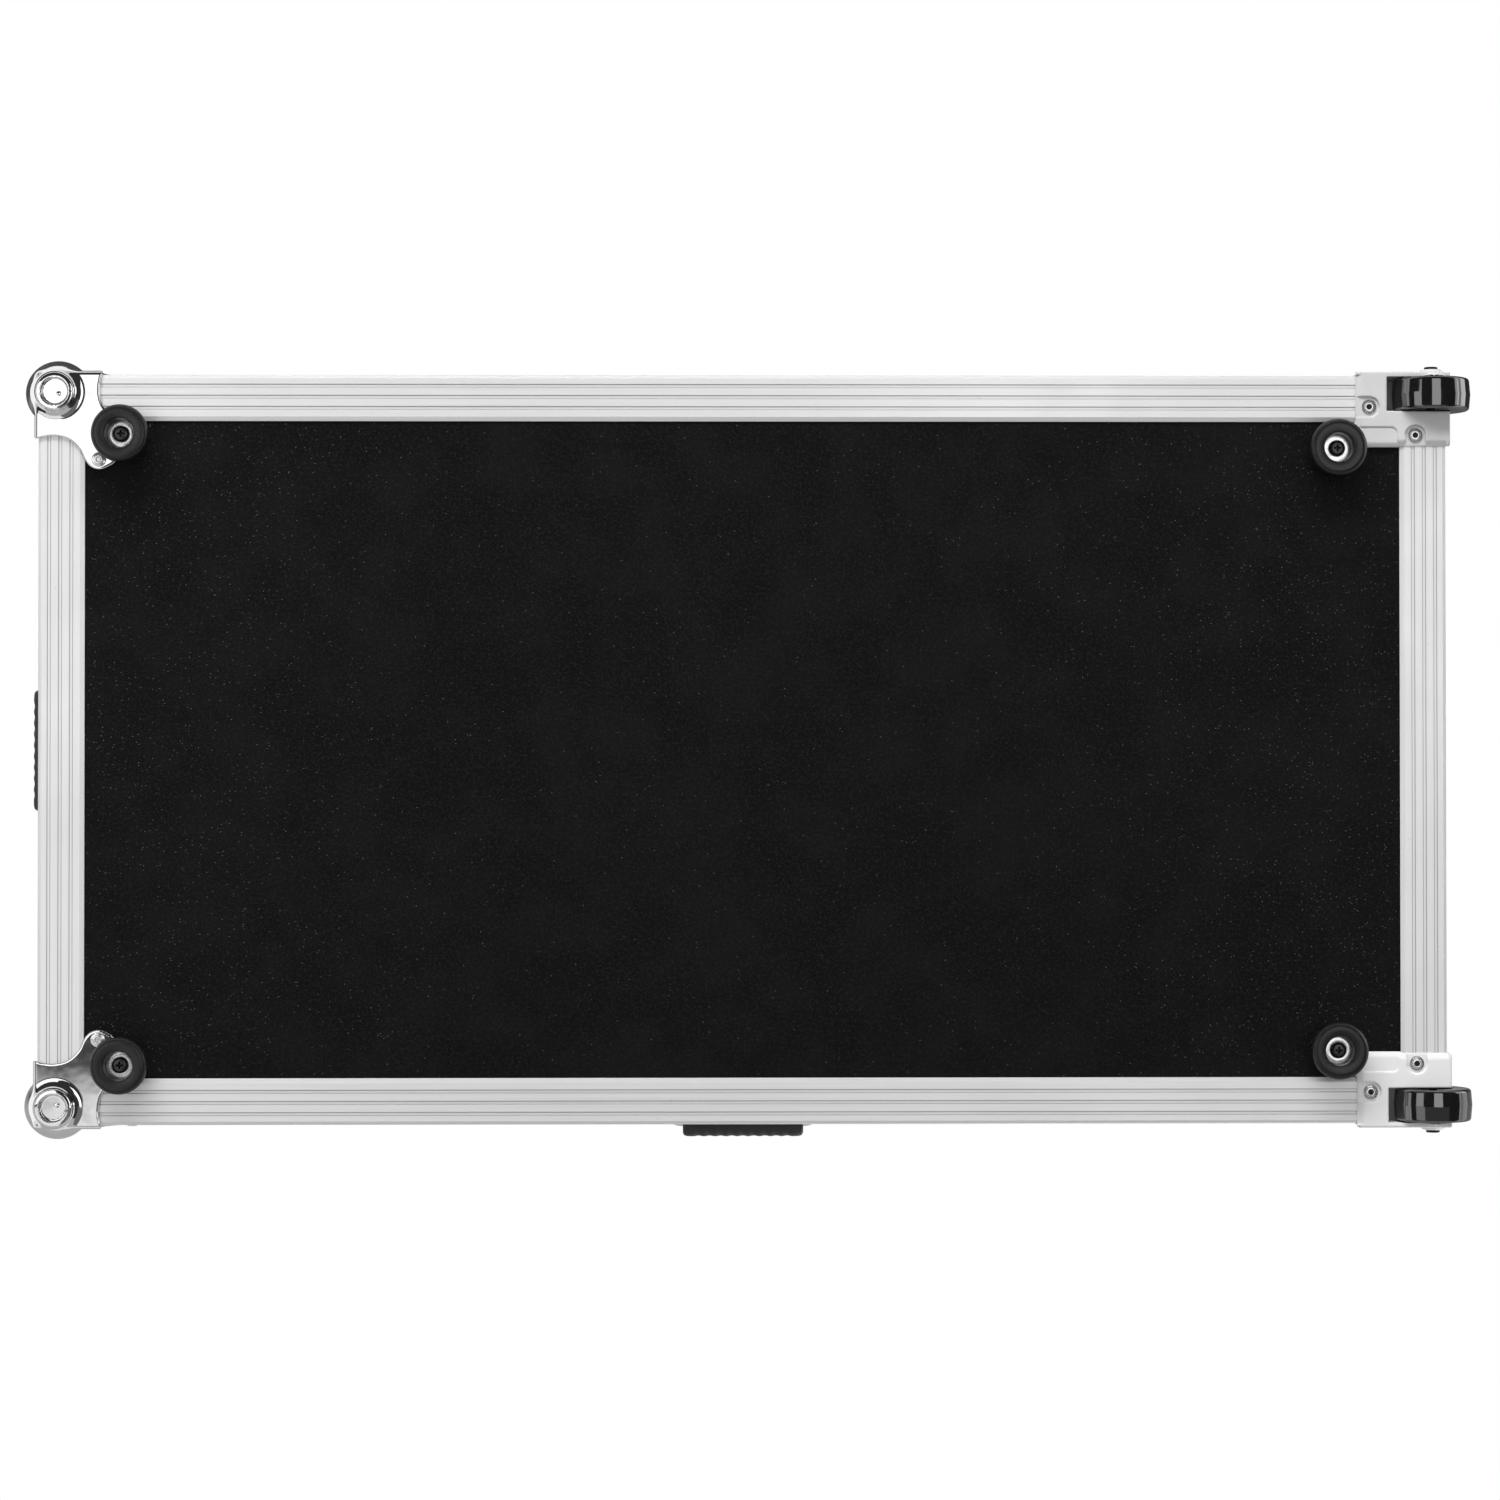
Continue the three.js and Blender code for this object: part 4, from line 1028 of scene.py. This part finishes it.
def wheel_profile():
    """Half of it from the bore over the hub to the crest, then its mirror image."""
    half = WHEEL_WIDTH / 2
    face, floor = half - HUB_RECESS, half - HUB_RECESS - HUB_GROOVE
    rim = WHEEL_RADIUS - WHEEL_CROWN - WHEEL_EDGE
    inner, dip, rise, lip = (HUB_RADIUS + step for step in HUB_STEPS)
    side = rounded([
        (AXLE_RADIUS + GAP, face), (inner, face), (dip, floor), (rise, floor), (lip, half), (rim, half),
    ], HUB_ROUND, 3)
    edge = [(rim + WHEEL_EDGE * sine, half - WHEEL_EDGE * (1 - cosine)) for sine, cosine in quarter(8)]
    tread = [(WHEEL_RADIUS - WHEEL_CROWN * share, (half - WHEEL_EDGE) * share) for share in TREAD_SHARES]
    upper = side + edge + tread
    lower = [(radius, -height) for radius, height in reversed(upper[:-1])]
    return upper + lower + upper[:1]


def add_wheels():
    for face, side_y in FACES.items():
        low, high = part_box(f"wheel_{face}")
        centre = (low + high) / 2 / MM
        axis = (0, side_y, 0)
        tyre = lathe(f"wheel_{face}_tyre", wheel_profile(), centre, axis, "wheel", WHEEL_TURNING)
        fit(tyre, f"{face}_wheel", f"wheel_{face}")


# Feet with their washers and screws

def foot_profile(seat, top):
    """A foot that tapers to its seat, with a rounded face edge and a bore for the screw."""
    inset, rise = FOOT_TAPER * FOOT_SHOULDER[0], (seat - FOOT_EDGE) * FOOT_SHOULDER[1]
    outside = [
        (SPIGOT_BORE, top), (SPIGOT_RADIUS, top), (SPIGOT_RADIUS, seat),
        (FOOT_RADIUS - FOOT_TAPER, seat), (FOOT_RADIUS - inset, FOOT_EDGE + rise),
    ]
    edge = [(FOOT_RADIUS - FOOT_EDGE * (1 - cosine), FOOT_EDGE * (1 - sine)) for sine, cosine in quarter(12)]
    floor = seat - FOOT_FLOOR
    bore = [(FOOT_BORE + wider, deep) for wider, deep in BORE_MOUTH] + [(FOOT_BORE - BORE_TAPER, floor)]
    return outside + edge + bore + [(SPIGOT_BORE, floor), (SPIGOT_BORE, top)]


def foot_levels(end):
    """The height of a foot's seat, and of the top of its spigot."""
    seat = BOTTOM_Z - PROUD - CAP_HEIGHT - 2 * GAP
    top = BOTTOM_Z + PANEL_FACE - GAP if end == "left" else BOTTOM_Z - PROUD - GAP
    return seat, top


def washer_profile(level):
    """A plain flat washer, its outer face down."""
    lower = level - WASHER_HEIGHT
    corners = [(WASHER_BORE, level), (WASHER_RADIUS, level), (WASHER_RADIUS, lower), (WASHER_BORE, lower)]
    return rounded(corners + corners[:1], WASHER_ROUND, 2)


def add_feet():
    for node, end in [(f"foot_{face}_{end}", end) for face in FACES for end in SIDES]:
        low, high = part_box(node)
        centre = ((low.x + high.x) / 2 / MM, (low.y + high.y) / 2 / MM, 0)
        seat, top = foot_levels(end)
        floor = seat - FOOT_FLOOR
        foot = lathe(f"{node}_rubber", foot_profile(seat, top), centre, UP, "rubber", FOOT_TURNING)
        fit(foot, "base", node)
        washer = lathe(f"{node}_washer", washer_profile(floor), centre, UP, "washer", WASHER_TURNING)
        fit(washer, "base")
        add_screw(f"{node}_screw", (*centre[:2], floor - WASHER_HEIGHT))


def add_screw(name, centre):
    """A pan-head screw, head down, with a tapered cross recess."""
    profile = [(SCREW_RADIUS * r, SCREW_HEIGHT * h) for r, h in SCREW_SHARES]
    points, faces = headed(profile, cross_outline())
    faces = outward(faces, points)
    screw = mesh_object(name, placed(points, centre, DOWN), faces, "screw")
    fit(screw, "base")


def cross_outline():
    corner = [(CROSS_REACH, -CROSS_HALF), (CROSS_REACH, CROSS_HALF), (CROSS_INNER, CROSS_INNER)]
    outline = []
    for k in range(4):
        turn = math.pi / 2 * k
        for x, y in corner:
            outline.append((x * math.cos(turn) - y * math.sin(turn), x * math.sin(turn) + y * math.cos(turn)))
    return outline


def headed(profile, cross):
    """A turned head whose top is filled round a cross recess that tapers to its floor."""
    points, faces = turned(profile, SCREW_SIDES)
    rim = list(range(len(points) - SCREW_SIDES, len(points)))
    mouth = list(range(len(points), len(points) + len(cross)))
    floor = [i + len(cross) for i in mouth]
    points += [(x, y, SCREW_HEIGHT) for x, y in cross]
    points += [(x * CROSS_TAPER, y * CROSS_TAPER, SCREW_HEIGHT - CROSS_DEPTH) for x, y in cross]
    return points, faces + between([mouth, floor]) + [floor] + bridge(points, rim, mouth)


def bridge(points, outer, inner):
    """Triangles between two rings, both counted the same way round."""
    def turn(i):
        return math.atan2(points[i][1], points[i][0])

    def ahead(ring, k):
        return (turn(ring[(k + 1) % len(ring)]) - turn(outer[0])) % (2 * math.pi) or 2 * math.pi

    start = min(range(len(outer)), key=lambda k: abs(turn(outer[k]) - turn(inner[0])))
    outer = outer[start:] + outer[:start]
    faces, i, j = [], 0, 0
    while i < len(outer) or j < len(inner):
        o, n = outer[i % len(outer)], inner[j % len(inner)]
        if j >= len(inner) or (i < len(outer) and ahead(outer, i) <= ahead(inner, j)):
            faces.append([o, outer[(i + 1) % len(outer)], n])
            i += 1
        else:
            faces.append([o, inner[(j + 1) % len(inner)], n])
            j += 1
    return faces


# Handles: a steel bail with a ribbed rubber grip

HANDLE_RULES = {
    "end": lambda across, depth, height: (HALF_LENGTH - depth, across, HANDLE_Z + height),
    "front": lambda across, depth, height: (across, -HALF_DEPTH + depth, HANDLE_Z + height),
}


def tube(path, radius, sides=20):
    """Points and faces of a round bar along a path that lies in one plane."""
    points = []
    normal = (path[1] - path[0]).cross(path[-1] - path[len(path) // 2]).normalized()
    for i, place in enumerate(path):
        ahead = path[min(i + 1, len(path) - 1)] - path[max(i - 1, 0)]
        side = ahead.normalized().cross(normal).normalized()
        for k in range(sides):
            turn = 2 * math.pi * k / sides
            points.append(tuple(place + (side * math.cos(turn) + normal * math.sin(turn)) * radius))
    rings = [[i * sides + k for k in range(sides)] for i in range(len(path))]
    faces = between(rings) + [rings[0][::-1], rings[-1]]
    return points, outward(faces, points)


def grip_profile():
    """A barrel grip with shallow finger rings."""
    half = GRIP_LENGTH / 2
    start = half - RIB_MARGIN
    profile = [(0, -half)] + [(GRIP_RADIUS - inset, -half + along) for inset, along in GRIP_END]
    for k in range(GRIP_RIBS * RIB_STEPS + 1):
        share = k / (GRIP_RIBS * RIB_STEPS)
        dip = 0.5 * (1 - math.cos(2 * math.pi * share * GRIP_RIBS)) * RIB_DEPTH
        profile.append((GRIP_RADIUS - RIB_TOP - dip, -start + 2 * start * share))
    return profile + [(radius, -height) for radius, height in reversed(profile[:4])]


def add_handles():
    half = LEG_SPACING / 2
    leg = [(half, *GRIP_PLACE), (half, *PIVOT), (half + STUB_LENGTH, *PIVOT)]
    corners = [(-across, *rest) for across, *rest in reversed(leg)] + leg
    for place, rule in HANDLE_RULES.items():
        path = [Vector(p) for p in rounded([rule(*corner) for corner in corners], ROD_BEND, 7, 1)]
        bar = mesh_object(f"handle_{place}_bar", *tube(path, ROD_RADIUS), "chrome")
        fit(bar, f"{place}_bail", f"handle_{place}_bail")
        axis = (0, 1, 0) if place == "end" else (1, 0, 0)
        centre = rule(0, *GRIP_PLACE)
        grip = lathe(f"handle_{place}_grip", grip_profile(), centre, axis, "grip", GRIP_TURNING)
        fit(grip, f"{place}_bail")


# Foam

def add_foam_trays():
    for end in SIDES:
        node = f"bay_foam_{end}"
        tray = finished(f"{node}_tray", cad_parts[node].data.copy(), "foam", 30)
        ease_edges(tray, FOAM_EASE, 4, FOAM_ANGLE)
        fit(tray, "base", node)


def crate_sheet(low, high):
    """Places across the lid's foam, and the height of its convoluted lower face with the peaks down."""
    cols, rows = int((high.x - low.x) / CRATE_STEP), int((high.y - low.y) / CRATE_STEP)
    xs, ys = np.linspace(low.x, high.x, cols + 1), np.linspace(low.y, high.y, rows + 1)
    x, y = np.meshgrid(xs, ys, indexing="ij")
    wave = (2 + np.sin(2 * math.pi * x / CRATE_PITCH) + np.sin(2 * math.pi * y / CRATE_PITCH)) / 4
    edge = np.minimum(np.minimum(x - low.x, high.x - x), np.minimum(y - low.y, high.y - y))
    eased = np.clip(edge / CRATE_RIM, 0, 1)
    return x, y, low.z + CRATE_DEPTH * wave ** CRATE_POWER + (1 - eased) ** 2 * CRATE_LIFT


def add_egg_crate():
    """The lid's convoluted foam, between its lower face and a flat top."""
    low, high = (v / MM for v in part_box("lid_foam"))
    x, y, down = crate_sheet(low, high)
    points = np.concatenate([np.stack([x, y, z], 2).reshape(-1, 3) for z in (down, np.full_like(x, high.z))])
    number = np.arange(x.size).reshape(x.shape)
    around = [number[:-1, :-1], number[1:, :-1], number[1:, 1:], number[:-1, 1:]]
    quads = np.stack(around, 2).reshape(-1, 4)
    faces = quads[:, ::-1].tolist() + (quads + x.size).tolist()
    rim = [*number[:, 0], *number[-1, 1:], *number[-2::-1, -1], *number[0, -2:0:-1]]
    for here, ahead in zip(rim, rim[1:] + rim[:1]):
        faces.append([here, ahead, x.size + ahead, x.size + here])
    pad = mesh_object("lid_foam_egg_crate", points, faces, "foam", 60)
    fit(pad, "lid", "lid_foam")


# Rivets of the latches, handles, hinges and rims: lists of places on the base and on the lid

def spread(half, count):
    return [-half + 2 * half * k / (count - 1) for k in range(count)]


def latch_rivets(x):
    axis = (0, -1, 0)
    sides = (x - LATCH_ACROSS, x + LATCH_ACROSS)
    dish = [((across, -LATCH_FACE, PARTING_Z - drop), axis) for across in sides for drop in DISH_DROPS]
    dish.append(((x, -LATCH_FACE, PARTING_Z - DISH_FOOT), axis))
    return dish, [((across, -LATCH_FACE, PARTING_Z + KEEPER_RISE), axis) for across in sides]


def handle_rivets(place, rule):
    low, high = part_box(f"handle_{place}_dish")
    axis, depth = (1, 0, 0), HALF_LENGTH - high.x / MM
    if place == "front":
        axis, depth = (0, -1, 0), HALF_DEPTH + low.y / MM
    columns, rows = spread(HANDLE_REACH, HANDLE_COUNT), (-HANDLE_ROW, HANDLE_ROW)
    return [(rule(across, depth, row), axis) for across in columns for row in rows]


def row_rivets(x, y, axis):
    """A rivet under the parting and one over it."""
    return [((x, y, PARTING_Z + up * RIM_ROW), axis) for up in (-1, 1)]


def hinge_rivets():
    xs = [x + along for x in (-HINGE_X, HINGE_X) for along in spread(HINGE_REACH, HINGE_COUNT)]
    return [row_rivets(x, HINGE_FACE, (0, 1, 0)) for x in xs]


def rim_rivets():
    """Small rivets along both rims, clear of the latches and hinges."""
    pairs = []
    blocked = {-1: (LATCH_X, LATCH_CLEAR), 1: (HINGE_X, HINGE_CLEAR)}
    for x in spread(HALF_LENGTH - RIM_END, RIM_COUNT):
        for side_y, (middle, clear) in blocked.items():
            if abs(abs(x) - middle) >= clear:
                pairs.append(row_rivets(x, side_y * HALF_DEPTH, (0, side_y, 0)))
    for y in spread(HALF_DEPTH - RIM_SIDE_END, RIM_SIDE_COUNT):
        for side_x in SIDES.values():
            pairs.append(row_rivets(side_x * HALF_LENGTH, y, (side_x, 0, 0)))
    return pairs


def add_small_rivets():
    base, lid = [], []
    for x in (-LATCH_X, LATCH_X):
        dish, keeper = latch_rivets(x)
        base += dish
        lid += keeper
    for place, rule in HANDLE_RULES.items():
        base += handle_rivets(place, rule)
    for lower, upper in hinge_rivets() + rim_rivets():
        base.append(lower)
        lid.append(upper)
    for body, places in (("base", base), ("lid", lid)):
        add_rivets(body, places, body, SMALL_RIVET)


# Stage, light and camera

def staged(name, points, faces, material, unseen_by):
    """A piece of the stage, drawn in metres, that some kinds of ray don't meet."""
    mesh = bpy.data.meshes.new(name)
    mesh.from_pydata(points, [], faces)
    mesh.materials.append(material)
    piece = linked(name, mesh)
    for ray in unseen_by:
        setattr(piece, f"visible_{ray}", False)


def floor_material():
    """A pale floor that is clear from below."""
    g = Material("pale_floor")
    pale = g.node("ShaderNodeBsdfDiffuse", {"Color": FLOOR_TONE})[0]
    clear = g.node("ShaderNodeBsdfTransparent")[0]
    below = g.node("ShaderNodeNewGeometry")["Backfacing"]
    return g.ended(g.node("ShaderNodeMixShader", {0: below, 1: pale, 2: clear})[0])


def level_corners(x, y, z=0):
    return [(-x, -y, z), (x, -y, z), (x, y, z), (-x, y, z)]


def add_floor():
    """The floor round the case, and under it a patch that only the camera sees, so that light comes up."""
    material = floor_material()
    margin = HALF_LENGTH * MM + FLOOR_MARGIN, HALF_DEPTH * MM + FLOOR_MARGIN
    inner = level_corners(*margin)
    ring = [(k, (k + 1) % 4, (k + 1) % 4 + 4, k + 4) for k in range(4)]
    staged("floor", level_corners(FLOOR_REACH, FLOOR_REACH) + inner, ring, material, ["shadow"])
    rays = ("diffuse", "glossy", "transmission", "shadow")
    staged("floor_patch", inner, [(0, 1, 2, 3)], material, rays)


def glow(name, near, far, start=-1, end=1):
    """A light-giving material whose strength changes along Y from near, at start, to far, at end."""
    g = Material(name)
    strength = g.blend(g.coordinate("Y"), start, end, near, far)
    return g.ended(g.node("ShaderNodeEmission", {"Color": strength})[0])


def wall_corners(axis, at, high):
    """An upright wall of the studio, across one axis."""
    reach, low = ROOM_REACH, ROOM_LOW
    ends = [(-reach, low), (reach, low), (reach, high), (-reach, high)]
    return [(at, u, z) if axis == "x" else (u, at, z) for u, z in ends]


def add_surround():
    """A dark studio that only shiny surfaces show: tub, ceiling and card, with a white gap between."""
    dark = glow("dark_wall", 0.03, 0.03)
    reach = ROOM_REACH
    walls = {
        "tub_floor": (level_corners(reach, reach, ROOM_LOW), glow("floor_grey", 0.14, 0.03, -0.5, -0.36)),
        "tub_left": (wall_corners("x", reach, ROOM_HORIZON), dark),
        "tub_right": (wall_corners("x", -reach, ROOM_HORIZON), dark),
        "tub_back": (wall_corners("y", reach, ROOM_HORIZON), dark),
        "tub_front": (wall_corners("y", -reach, ROOM_HIGH), glow("grey_wall", 0.42, 0.42)),
        "ceiling": (level_corners(reach, reach, ROOM_HIGH), glow("ceiling_grey", 0.4, 0.07, -0.5, 0.4)),
        "card": (CARD_CORNERS, glow("card_grey", 0.8, 0.06, -0.355, -0.3)),
    }
    rays = ("camera", "diffuse", "transmission", "shadow", "volume_scatter")
    for name, (corners, material) in walls.items():
        staged(name, corners, [(0, 1, 2, 3)], material, rays)


def add_lamps():
    """Soft boxes below and at the wheel end for the shine, keys for the light, and two lamps overhead."""
    for name, (place, target, (width, height), radiance, use) in LAMPS.items():
        data = bpy.data.lights.new(name, "AREA")
        data.shape = "RECTANGLE"
        data.size, data.size_y = width, height
        data.energy = radiance * math.pi * width * height
        lamp = linked(name, data)
        lamp.matrix_world = Matrix.Translation(Vector(place)) @ facing(Vector(place) - Vector(target))
        lamp.visible_camera = False
        lamp.visible_diffuse = use != "shines"
        lamp.visible_glossy = use != "lights"


def facing(direction):
    """A turn that lays Z along the direction, with X level."""
    back = direction.normalized()
    hint = Vector((0, 1, 0)) if abs(back.z) > 0.9 else Vector((0, 0, 1))
    right = hint.cross(back).normalized()
    return Matrix((right, back.cross(right), back)).transposed().to_4x4()


def add_world():
    """White to the camera, to reflections and through glass, and much lower as light."""
    world = bpy.data.worlds.new("studio")
    bpy.context.scene.world = world
    g = Graph(world)
    rays = g.node("ShaderNodeLightPath")
    seen = g.math("MAXIMUM", rays["Is Camera Ray"], rays["Is Glossy Ray"])
    seen = g.math("MAXIMUM", seen, rays["Is Transmission Ray"])
    light, white = [
        g.node("ShaderNodeBackground", {"Color": 1, "Strength": strength})[0]
        for strength in (WORLD_LIGHT, 1)
    ]
    mixed = g.node("ShaderNodeMixShader", {0: seen, 1: light, 2: white})[0]
    g.node("ShaderNodeOutputWorld", {"Surface": mixed})


def add_camera():
    data = bpy.data.cameras.new("camera")
    data.sensor_width = SENSOR
    data.lens = SENSOR * LENS_DISTANCE / PICTURE_WIDTH
    camera = linked("camera", data)
    place = Matrix.Translation(Vector((*PICTURE_CENTRE, -CAMERA_DISTANCE)) * MM)
    middle = Matrix.Translation(Vector((0, 0, BOTTOM_Z)) * MM)
    turn = Euler([math.radians(angle) for angle in CAMERA_TURN]).to_matrix().to_4x4()
    camera.matrix_world = middle @ turn @ place @ facing(Vector(DOWN))
    bpy.context.scene.camera = camera


bpy.context.scene.view_settings.view_transform = "Standard"
add_camera()
add_world()
add_lamps()
add_floor()
add_surround()
dress_cad()
add_ball_corners()
add_wheel_corners()
add_wheels()
add_feet()
add_handles()
add_foam_trays()
add_egg_crate()
add_small_rivets()
